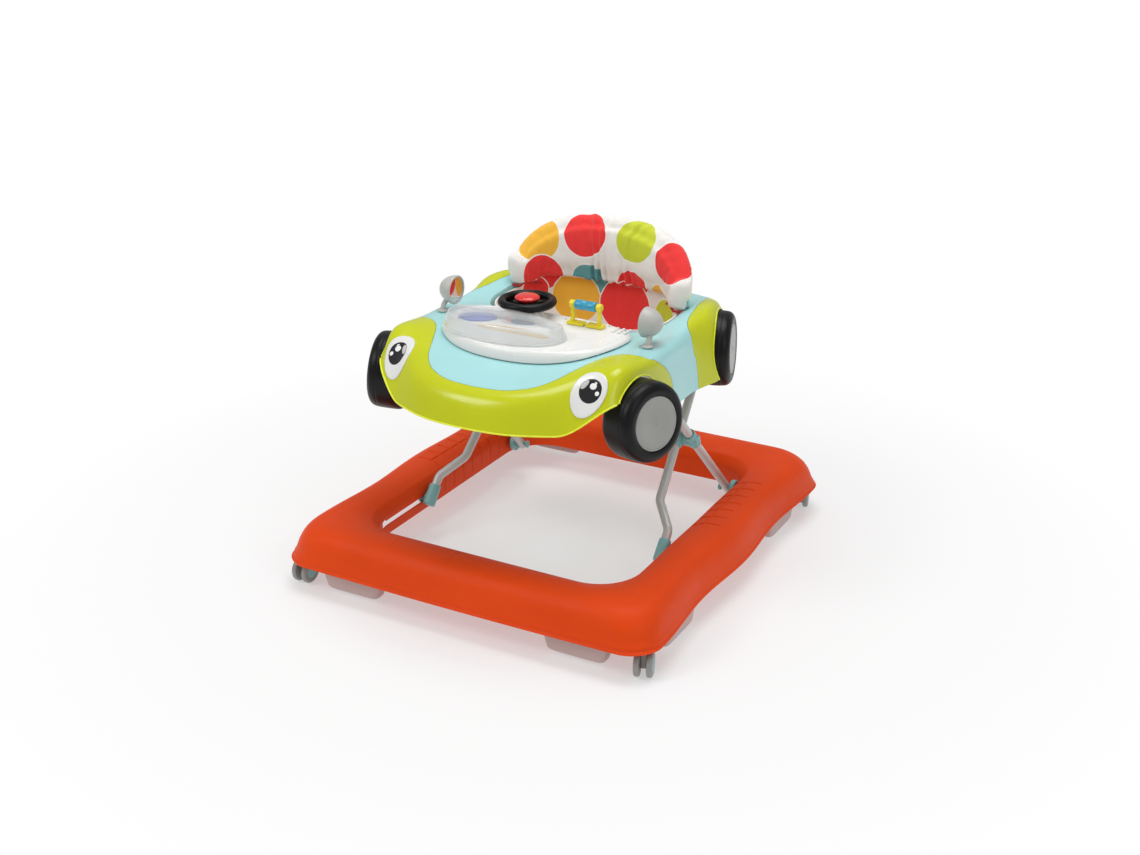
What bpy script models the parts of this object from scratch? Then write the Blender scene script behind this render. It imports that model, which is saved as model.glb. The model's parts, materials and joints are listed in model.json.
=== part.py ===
"""Baby walker with a toy-car tray.

A hollow ring base stands on four twin-wheel casters. Two bent tube frames cross in an X and carry
a car-shaped tray with a hanging seat. The rear frame turns on the base, the front frame turns on
the rear one at the crossing, and the tray turns on the front frame, so the tray stays level while
the X folds down. The front feet run in slots in the base, and the rear frame's cross bar runs in
tracks under the tray.

Metres, +Z up. The car faces -Y and its left side is +X. The origin is on the floor, at the centre.
"""
import math

import bmesh
import bpy
from mathutils import Matrix, Vector
from mathutils.bvhtree import BVHTree

# Clearances and walls
GAP = 0.0003
WALL = 0.0024
SIDES = (("left", 1), ("right", -1))
ENDS = (("front", -1), ("rear", 1))

# Base ring
RING_HALF = Vector((0.3045, 0.3375))
RING_OPENING = Vector((0.2185, 0.250))
RING_BOTTOM = 0.0415
RING_TOP = 0.0975
SLOT_HEIGHT = 0.061
SLOT_Y = (-0.203, -0.067)

# Casters
CASTER_AT = Vector((0.2865, 0.296))
CASTER_TRAIL = 0.013
CASTER_RADIUS = 0.019
CASTER_WHEEL_WIDTH = 0.0085
CASTER_WEB = 0.0085
CASTER_REST_TURN = {("front", "left"): 18, ("rear", "left"): 15}

# Folding frames: both lower pivots lie at SLOT_HEIGHT, and the tubes stand at 45 degrees
TUBE_RADIUS = 0.007
REAR_PIVOT = Vector((0.196, 0.192, SLOT_HEIGHT))
LOWER_RUN = 0.137
UPPER_RUN = 0.115
CROSSING = Vector((0.0, REAR_PIVOT.y - LOWER_RUN, SLOT_HEIGHT + LOWER_RUN))
FRONT_FOOT = Vector((0.2065, CROSSING.y - LOWER_RUN, SLOT_HEIGHT))
FRONT_BAR = CROSSING + Vector((0, UPPER_RUN, UPPER_RUN))
REAR_BAR = CROSSING + Vector((0, -UPPER_RUN, UPPER_RUN))
FRONT_RUN = (Vector((0.1745, CROSSING.y - 0.077, CROSSING.z - 0.077)),
             FRONT_BAR + Vector((0.158, 0, 0)))
REAR_RUN = (REAR_PIVOT + Vector((0.0003, 0.0065, -0.0065)), REAR_BAR + Vector((0.186, 0, 0)))
PIN_RADIUS = 0.003
PIN_HOLE = 0.0034

# Tray
DECK = 0.383
TRAY_RIM = 0.292
TRACK_TOP = 0.3755
OPENING_CENTRE = Vector((0.0, 0.068))
CONSOLE_TOP = 0.3925
STEERING = Vector((-0.038, -0.052, 0.4185))
BRACKET = Vector((0.062, -0.052, CONSOLE_TOP))
MIRROR = Vector((0.1745, -0.075))
LENS = Vector((-0.030, -0.124, CONSOLE_TOP))
EYE = Vector((0.157, -0.223, 0.359))
EYE_NORMAL = Vector((0.28, -0.75, 0.60)).normalized()

# Toy wheels: centre of the outer face, and the way the axle points, on the +X side
TOY_RADIUS = 0.060
TOY_WIDTHS = {"front": 0.050, "rear": 0.040}
TOY_WHEELS = {
    "front": (Vector((0.236, -0.171, 0.313)), Vector((0.94, -0.34, 0.087)).normalized()),
    "rear": (Vector((0.219, 0.136, 0.325)), Vector((0.961, 0.276, 0.03)).normalized()),
}

COLOURS = {
    "orange": ((0.80, 0.10, 0.01), 0.42, 0.0),
    "lime": ((0.55, 0.70, 0.02), 0.35, 0.0),
    "aqua": ((0.42, 0.72, 0.74), 0.30, 0.0),
    "teal": ((0.30, 0.60, 0.60), 0.40, 0.0),
    "white": ((0.85, 0.85, 0.83), 0.30, 0.0),
    "pad": ((0.80, 0.68, 0.68), 0.45, 0.0),
    "grey": ((0.55, 0.55, 0.54), 0.40, 0.0),
    "tube": ((0.60, 0.60, 0.59), 0.30, 0.6),
    "black": ((0.02, 0.02, 0.02), 0.45, 0.0),
    "red": ((0.75, 0.02, 0.02), 0.30, 0.0),
    "yellow": ((0.90, 0.72, 0.02), 0.30, 0.0),
    "blue": ((0.05, 0.45, 0.75), 0.30, 0.0),
    "clear": ((0.90, 0.92, 0.93), 0.10, 0.0),
    "fabric": ((0.85, 0.80, 0.76), 0.90, 0.0),
}


# ---------------------------------------------------------------- scene helpers

def clear_scene():
    for obj in list(bpy.data.objects):
        bpy.data.objects.remove(obj, do_unlink=True)


def make_collection(name):
    collection = bpy.data.collections.new(name)
    bpy.context.scene.collection.children.link(collection)
    return collection


def material(key):
    found = bpy.data.materials.get(key)
    if found:
        return found
    colour, roughness, metallic = COLOURS[key]
    made = bpy.data.materials.new(key)
    made.use_nodes = True
    shader = made.node_tree.nodes["Principled BSDF"]
    shader.inputs["Base Color"].default_value = (*colour, 1)
    shader.inputs["Roughness"].default_value = roughness
    shader.inputs["Metallic"].default_value = metallic
    made.diffuse_color = (*colour, 1)
    return made


def place(name, data, collection, frame=None):
    """Make an object from a mesh or curve, at the placement that the matrix gives."""
    obj = bpy.data.objects.new(name, data)
    collection.objects.link(obj)
    if frame is not None:
        obj.matrix_world = frame
    return obj


def tool(name, bm, frame=None):
    """Turn a bmesh into a helper solid, which is joined to or cut from a part."""
    mesh = bpy.data.meshes.new(name)
    bmesh.ops.recalc_face_normals(bm, faces=bm.faces)
    bm.to_mesh(mesh)
    bm.free()
    return place(name, mesh, CUTTERS, frame)


def bake(obj):
    """Replace the object's data by its evaluated mesh in world space."""
    bpy.context.view_layer.update()
    graph = bpy.context.evaluated_depsgraph_get()
    mesh = bpy.data.meshes.new_from_object(obj.evaluated_get(graph))
    mesh.transform(obj.matrix_world)
    baked = place(obj.name + "_mesh", mesh, CUTTERS)
    name = obj.name
    bpy.data.objects.remove(obj, do_unlink=True)
    baked.name = name
    return baked


def weld(obj, distance=1e-6):
    bm = bmesh.new()
    bm.from_mesh(obj.data)
    bmesh.ops.remove_doubles(bm, verts=bm.verts, dist=distance)
    bmesh.ops.recalc_face_normals(bm, faces=bm.faces)
    bm.to_mesh(obj.data)
    bm.free()
    return obj


def combine(obj, other, operation, keep=False):
    """Cut, join or intersect two helper solids with an exact Boolean."""
    modifier = obj.modifiers.new(operation, "BOOLEAN")
    modifier.operation = operation
    modifier.solver = "EXACT"
    modifier.object = other
    result = bake(obj)
    if not keep:
        bpy.data.objects.remove(other, do_unlink=True)
    return result


def cut(obj, *others):
    for other in others:
        obj = combine(obj, other, "DIFFERENCE")
    return obj


def join(obj, *others):
    for other in others:
        obj = combine(obj, other, "UNION")
    return obj


def overlap(obj, other):
    return combine(obj, other, "INTERSECT")


def part(name, obj, colour, pivot=None):
    """Make a finished helper solid into a named part, with its origin on its pivot's empty."""
    obj = bake(obj)
    obj.name = name
    obj.data.name = name
    CUTTERS.objects.unlink(obj)
    PARTS.objects.link(obj)
    obj.data.materials.clear()
    obj.data.materials.append(material(colour))
    obj.data.shade_smooth()
    obj.data.set_sharp_from_angle(angle=math.radians(35))
    if pivot is not None:
        obj.parent = pivot
        obj.matrix_parent_inverse = pivot.matrix_world.inverted()
    return obj


def pivot(name, location, parent=None):
    """Make an empty on a joint's axis."""
    empty = place(name, None, PARTS, Matrix.Translation(location))
    bpy.context.view_layer.update()
    if parent is not None:
        empty.parent = parent
        empty.matrix_parent_inverse = parent.matrix_world.inverted()
        bpy.context.view_layer.update()
    return empty


def mirrored(point, side):
    return Vector((point.x * side, point.y, point.z))


def facing(centre, normal, up=Vector((0, 0, 1))):
    """Placement whose +Z is the normal and whose +Y is the nearest to up."""
    z = normal.normalized()
    y = (up - z * up.dot(z)).normalized()
    x = y.cross(z)
    frame = Matrix((x, y, z)).transposed().to_4x4()
    frame.translation = centre
    return frame


# ---------------------------------------------------------------- shape helpers

def box(name, low, high):
    bm = bmesh.new()
    bmesh.ops.create_cube(bm, size=1)
    low, high = Vector(low), Vector(high)
    for vert in bm.verts:
        vert.co = Vector((low[i] + (high[i] - low[i]) * (vert.co[i] + 0.5) for i in range(3)))
    return tool(name, bm)


def rod(name, start, end, radius, radius_end=None, sides=12):
    start, end = Vector(start), Vector(end)
    along = end - start
    bm = bmesh.new()
    bmesh.ops.create_cone(bm, cap_ends=True, segments=sides, depth=along.length,
                          radius1=radius, radius2=radius if radius_end is None else radius_end)
    turn = Vector((0, 0, 1)).rotation_difference(along).to_matrix().to_4x4()
    frame = Matrix.Translation((start + end) / 2) @ turn
    return bake(tool(name, bm, frame))


def plate(name, outline, thickness, frame=None):
    """A flat outline given a thickness, centred on its own plane."""
    curve = bpy.data.curves.new(name, "CURVE")
    curve.dimensions = "2D"
    curve.fill_mode = "BOTH"
    curve.extrude = thickness / 2
    spline = curve.splines.new("POLY")
    spline.points.add(len(outline) - 1)
    for point, (x, y) in zip(spline.points, outline):
        point.co = (x, y, 0, 1)
    spline.use_cyclic_u = True
    return weld(bake(place(name, curve, CUTTERS, frame)))


def turned(name, profile, frame=None, steps=24, closed=False):
    """Turn a profile of (radius, height) points, running down the outer side, about its Z axis."""
    mesh = bpy.data.meshes.new(name)
    edges = [(i, i + 1) for i in range(len(profile) - 1)]
    if closed:
        edges.append((len(profile) - 1, 0))
    mesh.from_pydata([(r, 0, h) for r, h in profile], edges, [])
    obj = place(name, mesh, CUTTERS, frame)
    screw = obj.modifiers.new("turn", "SCREW")
    screw.steps = screw.render_steps = steps
    screw.use_merge_vertices = True
    screw.merge_threshold = 0.00001
    return weld(bake(obj))


def tube(name, points, radius, wall=0.0, bevel_resolution=2):
    """A round bar along the points, or a hollow tube with open ends where a wall is given."""
    curve = bpy.data.curves.new(name, "CURVE")
    curve.dimensions = "3D"
    curve.bevel_depth = radius
    curve.bevel_resolution = bevel_resolution
    curve.use_fill_caps = wall == 0
    spline = curve.splines.new("POLY")
    spline.points.add(len(points) - 1)
    for point, place_at in zip(spline.points, points):
        point.co = (*place_at, 1)
    obj = weld(bake(place(name, curve, CUTTERS)))
    return thickened(obj, wall, -1) if wall else obj


def with_bends(corners, radius, steps=3):
    """A path through straight runs, each inner corner rounded by an arc of the radius."""
    corners = [Vector(c) for c in corners]
    path = [corners[0]]
    for before, corner, after in zip(corners, corners[1:], corners[2:]):
        arriving, leaving = (before - corner).normalized(), (after - corner).normalized()
        half = arriving.angle(leaving) / 2
        reach = radius / math.tan(half)
        centre = corner + (arriving + leaving).normalized() * radius / math.sin(half)
        start = (corner + arriving * reach - centre).normalized()
        end = (corner + leaving * reach - centre).normalized()
        for i in range(steps + 1):
            path.append(centre + start.slerp(end, i / steps) * radius)
    path.append(corners[-1])
    return path


def skin(rings, cyclic=True, split=False):
    """Faces between a row of rings, as triangles on the shorter diagonal where split."""
    bm = bmesh.new()
    rows = [[bm.verts.new(point) for point in ring] for ring in rings]
    count = len(rows[0])
    for low, high in zip(rows, rows[1:]):
        for i in range(count if cyclic else count - 1):
            a, b, c, d = low[i], low[(i + 1) % count], high[(i + 1) % count], high[i]
            if not split:
                bm.faces.new((a, b, c, d))
            elif (a.co - c.co).length < (b.co - d.co).length:
                bm.faces.new((a, b, c))
                bm.faces.new((a, c, d))
            else:
                bm.faces.new((a, b, d))
                bm.faces.new((b, c, d))
    return bm, rows


def thickened(obj, wall, offset):
    solidify = obj.modifiers.new("wall", "SOLIDIFY")
    solidify.thickness = wall
    solidify.offset = offset
    return bake(obj)


def solid_loft(name, rings):
    bm, rows = skin(rings)
    bm.faces.new(rows[0])
    bm.faces.new(rows[-1])
    return tool(name, bm)


def cup(name, rings, wall):
    """A thin-walled vessel: the rings skinned, with a flat face at the last one."""
    bm, rows = skin(rings)
    bm.faces.new(rows[-1])
    return thickened(tool(name, bm), wall, -1)


def spline_point(a, b, c, d, t):
    """A point between b and c on the smooth curve through four points."""
    return 0.5 * ((2 * b) + (c - a) * t + (2 * a - 5 * b + 4 * c - d) * t ** 2
                  + (3 * b - a - 3 * c + d) * t ** 3)


def smooth_loop(points, steps):
    """Sample a smooth closed curve through the points."""
    count = len(points)
    loop = []
    for i in range(count):
        a, b, c, d = (Vector(points[(i + k) % count]) for k in (-1, 0, 1, 2))
        for s in range(steps):
            loop.append(spline_point(a, b, c, d, s / steps))
    return loop


def mirrored_loop(half):
    """Close a half outline, given from the front centre to the rear centre, over the YZ plane."""
    return half + [(-x, y) for x, y in reversed(half[1:-1])]


def oval(half_x, half_y, power=2.0, steps=32, centre=(0, 0)):
    """A superellipse outline."""
    points = []
    for i in range(steps):
        angle = 2 * math.pi * i / steps
        c, s = math.cos(angle), math.sin(angle)
        points.append((centre[0] + half_x * math.copysign(abs(c) ** (2 / power), c),
                       centre[1] + half_y * math.copysign(abs(s) ** (2 / power), s)))
    return points


# ---------------------------------------------------------------- base

def rounded_rectangle(half, radius, corner_steps=5, side_steps=6):
    """Outline with the same number of points for any size, so that two of them can be skinned."""
    points = []
    for quadrant in range(4):
        sign = ((1, 1), (-1, 1), (-1, -1), (1, -1))[quadrant]
        centre = Vector(((half.x - radius) * sign[0], (half.y - radius) * sign[1]))
        arc = [centre + radius * Vector((math.cos(a), math.sin(a)))
               for a in (math.pi / 2 * (quadrant + i / corner_steps)
                         for i in range(corner_steps + 1))]
        if points:
            run = arc[0] - points[-1]
            points += [points[-1] + run * i / side_steps for i in range(1, side_steps)]
        points += arc
    run = points[0] - points[-1]
    last = points[-1]
    points += [last + run * i / side_steps for i in range(1, side_steps)]
    return points


def ring_outer_outline():
    """The outer rim, bowed at its ends and drawn in at two waists along each side."""
    outline = []
    for point in rounded_rectangle(RING_HALF, 0.046):
        waist = 0.0040 * math.cos(math.pi * point.y / 0.14) * (point.x / RING_HALF.x)
        bow = 0.0040 * math.cos(math.pi * point.x / 0.60) * (point.y / RING_HALF.y)
        outline.append(point + Vector((waist, bow)))
    return outline


# Rail section: part of the way from the outer rim to the opening, and height
RING_SECTION = ((0, RING_BOTTOM), (0, 0.0510), (0.030, 0.0575), (0.075, 0.0715), (0.15, 0.0850),
                (0.27, 0.0945), (0.46, RING_TOP), (0.68, 0.0962), (0.86, 0.0905), (0.95, 0.0835),
                (1.0, 0.0740), (1.0, RING_BOTTOM))


def make_base_ring():
    outer = ring_outer_outline()
    inner = rounded_rectangle(RING_OPENING, 0.070)
    rings = []
    for share, height in RING_SECTION:
        rings.append([(*(a.lerp(b, share)), height) for a, b in zip(outer, inner)])
    bm, _ = skin(rings)
    ring = thickened(tool("base_ring", bm), 0.0022, -1)
    for _, end in ENDS:
        for _, side in SIDES:
            x, y = CASTER_AT.x * side, CASTER_AT.y * end
            ring = join(ring, rod("boss", (x, y, 0.0405), (x, y, 0.0752), 0.0085))
            ring = cut(ring, rod("bore", (x, y, 0.030), (x, y, 0.0710), 0.0044))
    for _, side in SIDES:
        wall_x = RING_OPENING.x * side
        half_height = 0.0045
        middle = box("slot", (wall_x - 0.01, SLOT_Y[0] + half_height, SLOT_HEIGHT - half_height),
                     (wall_x + 0.01, SLOT_Y[1] - half_height, SLOT_HEIGHT + half_height))
        ring = cut(ring, middle)
    part("base_ring", ring, "orange")


def make_brake_pads():
    """Anti-slip pads hang inside the rim and stop the walker where a caster drops over an edge."""
    top, bottom = 0.0385, 0.008
    spots = [(f"{end_name}_{side_name}", (0.190 * side, 0.312 * end), 0)
             for end_name, end in ENDS for side_name, side in SIDES]
    spots += [(f"{side_name}_{end_name}", (0.282 * side, 0.196 * end), math.pi / 2)
              for side_name, side in SIDES for end_name, end in ENDS]
    for name, (x, y), turn in spots:
        rings = []
        for half_x, half_y, z in ((0.053, 0.0145, top), (0.046, 0.0125, 0.012),
                                  (0.042, 0.0100, bottom)):
            rings.append([(px, py, z) for px, py in oval(half_x, half_y, 6, 12)])
        pad = cup("pad", rings, 0.0032)
        pad = join(pad, box("rib", (-0.022, -0.0020, 0.009), (0.022, 0.0020, 0.0760)))
        pad.matrix_world = Matrix.Translation((x, y, 0)) @ Matrix.Rotation(turn, 4, "Z")
        part("brake_pad_" + name, pad, "pad")


def make_casters():
    for end_name, end in ENDS:
        for side_name, side in SIDES:
            label = f"{end_name}_{side_name}"
            at = Vector((CASTER_AT.x * side, CASTER_AT.y * end, 0))
            turn = math.radians(CASTER_REST_TURN.get((end_name, side_name), 0))
            frame = Matrix.Translation(at) @ Matrix.Rotation(turn, 4, "Z")
            swivel = pivot("caster_swivel_" + label, at)
            hub = Vector((0, CASTER_TRAIL * end, CASTER_RADIUS))
            web = plate("web", oval(0.0105, 0.0148, 3, 12, (hub.y * 0.55, 0.0245)), CASTER_WEB,
                        Matrix(((0, 0, 1, 0), (1, 0, 0, 0), (0, 1, 0, 0), (0, 0, 0, 1))))
            fork = join(web, rod("collar", (0, 0, 0.0384), (0, 0, 0.0398), 0.0085),
                        rod("stem", (0, 0, 0.036), (0, 0, 0.0690), 0.0040),
                        rod("axle", (-0.0118, hub.y, hub.z), (0.0118, hub.y, hub.z), 0.0025,
                            sides=8))
            fork.matrix_world = frame
            part("caster_fork_" + label, fork, "grey", swivel)
            axle = pivot("caster_axle_" + label, frame @ hub, swivel)
            for wheel_name, way in (("outer", side), ("inner", -side)):
                radius, width = CASTER_RADIUS, CASTER_WHEEL_WIDTH
                wheel = turned("wheel", ((0, width), (0.0165, width), (radius, width - 0.0022),
                                         (radius, 0.0018), (0.0175, 0), (0.0030, 0),
                                         (0.0030, width - 0.0012), (0, width - 0.0012)), steps=16)
                start = CASTER_WEB / 2 + 0.0006
                wheel.matrix_world = frame @ facing(hub + Vector((way * start, 0, 0)),
                                                    Vector((way, 0, 0)))
                part(f"caster_wheel_{label}_{wheel_name}", wheel, "grey", axle)


# ---------------------------------------------------------------- folding frames

def on_run(start, end, y):
    """The point of a straight run at the given Y, and the run's direction."""
    return start.lerp(end, (y - start.y) / (end.y - start.y)), (end - start).normalized()


def make_rear_legs(fold):
    """The wider frame: it turns on the base at its lower ends and carries the sliding bar."""
    toe, knee = REAR_RUN
    corners = [mirrored(toe, -1), mirrored(knee, -1), knee, toe]
    frame = tube("rear", with_bends(corners, 0.032), TUBE_RADIUS, 0.0013)
    for _, side in SIDES:
        frame = cut(frame,
                    rod("hole", (0.17 * side, REAR_PIVOT.y, REAR_PIVOT.z),
                        (0.22 * side, REAR_PIVOT.y, REAR_PIVOT.z), PIN_HOLE, sides=10),
                    rod("hole", (0.175 * side, CROSSING.y, CROSSING.z),
                        (0.205 * side, CROSSING.y, CROSSING.z), PIN_HOLE, sides=10))
    part("rear_leg_frame", frame, "tube", fold)
    for name, side in SIDES:
        at = REAR_PIVOT
        clip = rod("disc", (0.2040 * side, at.y, at.z), (0.2118 * side, at.y, at.z), 0.015,
                   sides=16)
        clip = join(clip, rod("pin", (0.1850 * side, at.y, at.z), (0.2100 * side, at.y, at.z),
                              PIN_RADIUS),
                    rod("head", (0.1825 * side, at.y, at.z), (0.1856 * side, at.y, at.z), 0.0062))
        part("rear_pivot_clip_" + name, clip, "teal")


def make_front_legs(cross):
    """The narrower frame: its feet slide in the base, and the tray turns on its cross bar."""
    toe, ankle = FRONT_FOOT, FRONT_FOOT + Vector((-0.001, 0.027, 0.032))
    half = [toe, ankle, *FRONT_RUN]
    corners = [mirrored(p, -1) for p in half] + list(reversed(half))
    frame = tube("front", with_bends(corners, 0.020), TUBE_RADIUS, 0.0013)
    for _, side in SIDES:
        frame = cut(frame, rod("hole", (0.155 * side, CROSSING.y, CROSSING.z),
                               (0.183 * side, CROSSING.y, CROSSING.z), PIN_HOLE, sides=10))
    part("front_leg_frame", frame, "tube", cross)
    for name, side in SIDES:
        up_leg = (ankle - toe).normalized()
        foot = mirrored(toe, side)
        along = mirrored(up_leg, side)
        shoe = rod("shoe", foot - along * 0.009, foot + along * 0.026, 0.0105, 0.0092)
        shoe = cut(shoe, rod("bore", foot - along * 0.0012, foot + along * 0.05,
                             TUBE_RADIUS + 2 * GAP, sides=16))
        shoe = join(shoe, rod("pin", foot + Vector((0.0086 * side, 0, 0)),
                              foot + Vector((0.0160 * side, 0, 0)), 0.0038, sides=8),
                    rod("head", foot + Vector((0.0150 * side, 0, 0)),
                        foot + Vector((0.0180 * side, 0, 0)), 0.0068))
        part("front_foot_" + name, shoe, "teal", cross)


def make_crossing_hubs(fold, cross):
    """Each side's hub is two halves, one on each tube, and the outer half holds the pin."""
    for name, side in SIDES:
        inner, up_front = on_run(*(mirrored(p, side) for p in FRONT_RUN), CROSSING.y)
        outer, up_rear = on_run(*(mirrored(p, side) for p in REAR_RUN), CROSSING.y)

        def along_x(label, start, end, radius, sides=14):
            return rod(label, (start * side, CROSSING.y, CROSSING.z),
                       (end * side, CROSSING.y, CROSSING.z), radius, sides=sides)

        half = rod("sleeve", inner - up_front * 0.017, inner + up_front * 0.017, 0.0099, sides=14)
        half = join(half, along_x("boss", 0.1700, 0.1790, 0.0125))
        half = cut(half, rod("bore", inner - up_front * 0.03, inner + up_front * 0.03,
                             TUBE_RADIUS + 2 * GAP, sides=14),
                   along_x("pin_hole", 0.150, 0.185, PIN_HOLE, 10))
        part("cross_hub_inner_" + name, half, "teal", cross)

        half = rod("sleeve", outer - up_rear * 0.017, outer + up_rear * 0.017, 0.0099, sides=14)
        half = join(half, along_x("boss", 0.1797, 0.1915, 0.0125),
                    along_x("button", 0.1905, 0.2030, 0.0080))
        half = cut(half, rod("bore", outer - up_rear * 0.03, outer + up_rear * 0.03,
                             TUBE_RADIUS + 2 * GAP, sides=14))
        half = join(half, along_x("pin", 0.1552, 0.2007, PIN_RADIUS, 10),
                    along_x("head", 0.1540, 0.1570, 0.0058, 12))
        part("cross_hub_outer_" + name, half, "teal", fold)


# ---------------------------------------------------------------- tray body

# Outline of the car and of the seat opening, from the front centre round to the rear centre
CAR_HALF = [(0, -0.302), (0.062, -0.296), (0.110, -0.278), (0.152, -0.2540), (0.183, -0.230),
            (0.201, -0.198), (0.207, -0.130), (0.209, -0.060), (0.208, 0.010), (0.216, 0.052),
            (0.2215, 0.076), (0.216, 0.120), (0.204, 0.168), (0.174, 0.212), (0.105, 0.232),
            (0, 0.238)]
OPENING_HALF = [(0, -0.022), (0.052, -0.022), (0.098, -0.018), (0.128, -0.005), (0.143, 0.016),
                (0.149, 0.038), (0.1505, 0.058), (0.1505, 0.072), (0.150, 0.086), (0.1465, 0.102),
                (0.1385, 0.119), (0.126, 0.132), (0.109, 0.1425), (0.085, 0.151), (0.045, 0.1565),
                (0, 0.158)]
# Side wall: how far in from the outline, and deck: how far from the wall to the opening
WALL_STEPS = (0.0, 0.05, 0.17, 0.36, 0.63, 1.0)
CAR_DECK = ((0.30, 0), (0.62, 0), (0.94, 0), (1.0, 0.003), (1.0, 0.016))
HOOD_START = -0.185
HOOD_SLOPE = 0.29


def bell(x, y, centre, reach):
    """A smooth bump of height one, the same on both sides of the car."""
    away = (abs(x) - centre[0]) ** 2 + (y - centre[1]) ** 2
    return math.exp(-away / (2 * reach ** 2))


def deck_height(x, y):
    """Height of the car's upper surface: a flat deck, a falling hood and four wheel bulges."""
    height = DECK - HOOD_SLOPE * max(0.0, HOOD_START - y)
    height += 0.0185 * bell(x, y, (0.170, -0.186), 0.028)
    height += 0.018 * math.exp(-(abs(x) - 0.188) ** 2 / (2 * 0.022 ** 2)
                               - (y - 0.125) ** 2 / (2 * 0.055 ** 2))
    return height


def ramp(value):
    """A smooth step from zero to one as the value goes from zero to one."""
    value = min(1.0, max(0.0, value))
    return value * value * (3 - 2 * value)


def rim_height(x, y):
    """Height of the body's lower edge, which rises to the nose and more beside the wheels."""
    corner = ramp((abs(x) - 0.150) / 0.055) * ramp((-0.14 - y) / 0.05)
    return TRAY_RIM + 0.016 * ramp((-0.10 - y) / 0.14) + 0.046 * corner


def car_rings(steps=2):
    """Rings of the car's outer surface, from the bottom rim over the deck to the seat opening."""
    outer = smooth_loop(mirrored_loop(CAR_HALF), steps)
    inner = smooth_loop(mirrored_loop(OPENING_HALF), steps)
    rings = [[] for _ in range(len(WALL_STEPS) + len(CAR_DECK))]
    for a, b in zip(outer, inner):
        inward = (b - a).normalized()
        brow = bell(*a, (0.160, -0.245), 0.030)
        reach, curve = 0.030 + 0.032 * brow, 2.6 - 1.4 * brow
        shoulder = a + inward * reach
        rim, top = rim_height(*a), deck_height(*shoulder)
        row = 0
        for step in WALL_STEPS:
            at = a + inward * reach * step
            rings[row].append(Vector((*at, rim + (1 - (1 - step) ** curve) * (top - rim))))
            row += 1
        for share, drop in CAR_DECK:
            at = shoulder.lerp(b, share)
            rings[row].append(Vector((*at, deck_height(*at) - drop)))
            row += 1
    return rings


def car_shell(name):
    bm, _ = skin(car_rings(), split=True)
    return thickened(tool(name, bm), WALL, -1)


def car_surface():
    """Search tree of the car's outer surface, for the parts that stand on it."""
    bm, _ = skin(car_rings(), split=True)
    tree = BVHTree.FromBMesh(bm)
    bm.free()
    return tree


def surface_height(tree, x, y):
    """Height of the car's surface there, or of the deck inside the seat opening."""
    found = tree.ray_cast(Vector((x, y, 0.6)), Vector((0, 0, -1)))[0]
    return found.z if found else DECK


# Line between the hood and the front bumper, and the line round a rear fender, on the +X side
BUMPER_LINE = [(0, -0.268), (0.045, -0.264), (0.080, -0.249), (0.103, -0.225), (0.119, -0.192),
               (0.131, -0.165), (0.143, -0.143), (0.158, -0.128), (0.177, -0.120),
               (0.196, -0.112), (0.209, -0.093), (0.300, -0.070)]
FENDER_LINE = [(0.300, 0.032), (0.214, 0.036), (0.200, 0.033), (0.187, 0.042), (0.176, 0.066),
               (0.167, 0.097), (0.162, 0.140), (0.158, 0.180), (0.150, 0.215), (0.150, 0.300)]


def smooth_line(points, steps=2):
    """Sample a smooth open curve through the points."""
    padded = [points[0]] + list(points) + [points[-1]]
    line = []
    for a, b, c, d in zip(padded, padded[1:], padded[2:], padded[3:]):
        a, b, c, d = (Vector(p) for p in (a, b, c, d))
        for s in range(steps):
            line.append(spline_point(a, b, c, d, s / steps))
    line.append(Vector(points[-1]))
    return line


def offset_line(line, distance):
    """Shift an open plan line to its left by the distance."""
    shifted = []
    for i, point in enumerate(line):
        run = (line[min(i + 1, len(line) - 1)] - line[max(i - 1, 0)]).normalized()
        shifted.append(point + Vector((-run.y, run.x)) * distance)
    return shifted


def bumper_prism(gap=0.0):
    """The region in front of the bumper line, grown by the gap."""
    left = offset_line(smooth_line(BUMPER_LINE), gap)
    line = [Vector((-point.x, point.y)) for point in reversed(left[1:])] + left
    outline = [*line, (0.300, -0.400), (-0.300, -0.400)]
    return plate("bumper_prism", outline, 0.6, Matrix.Translation((0, 0, 0.3)))


def fender_prism(side, gap=0.0):
    """The region outside the line round a rear wheel, grown by the gap."""
    outline = [*offset_line(smooth_line(FENDER_LINE), gap), Vector((0.300, 0.300))]
    outline = [(point.x * side, point.y) for point in outline]
    return plate("fender_prism", outline, 0.6, Matrix.Translation((0, 0, 0.3)))


def wheel_placement(end_name, side):
    centre, axle = TOY_WHEELS[end_name]
    return mirrored(centre, side), mirrored(axle, side)


def wheel_arch(end_name, side):
    centre, axle = wheel_placement(end_name, side)
    return rod("arch", centre - axle * (TOY_WIDTHS[end_name] + 0.001), centre + axle * 0.03,
               TOY_RADIUS + 0.0035, sides=28)


def wheel_bracket(tree, end_name, side):
    """A plate under the bodywork, square to the axle, that carries the toy wheel's stub."""
    centre, axle = wheel_placement(end_name, side)
    middle = centre - axle * (TOY_WIDTHS[end_name] + 0.0035)
    frame = facing(middle, axle)
    half = 0.011
    top = min(surface_height(tree, *(frame @ Vector((x, 0.06, 0))).xy)
              for x in (-half, 0, half)) - 0.0012 - middle.z
    bracket = plate("bracket", [(-half, -0.013), (half, -0.013), (half, top), (-half, top)],
                    0.003, frame)
    return cut(bracket, rod("hole", middle - axle * 0.01, middle + axle * 0.01, 0.0046, sides=12))


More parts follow.
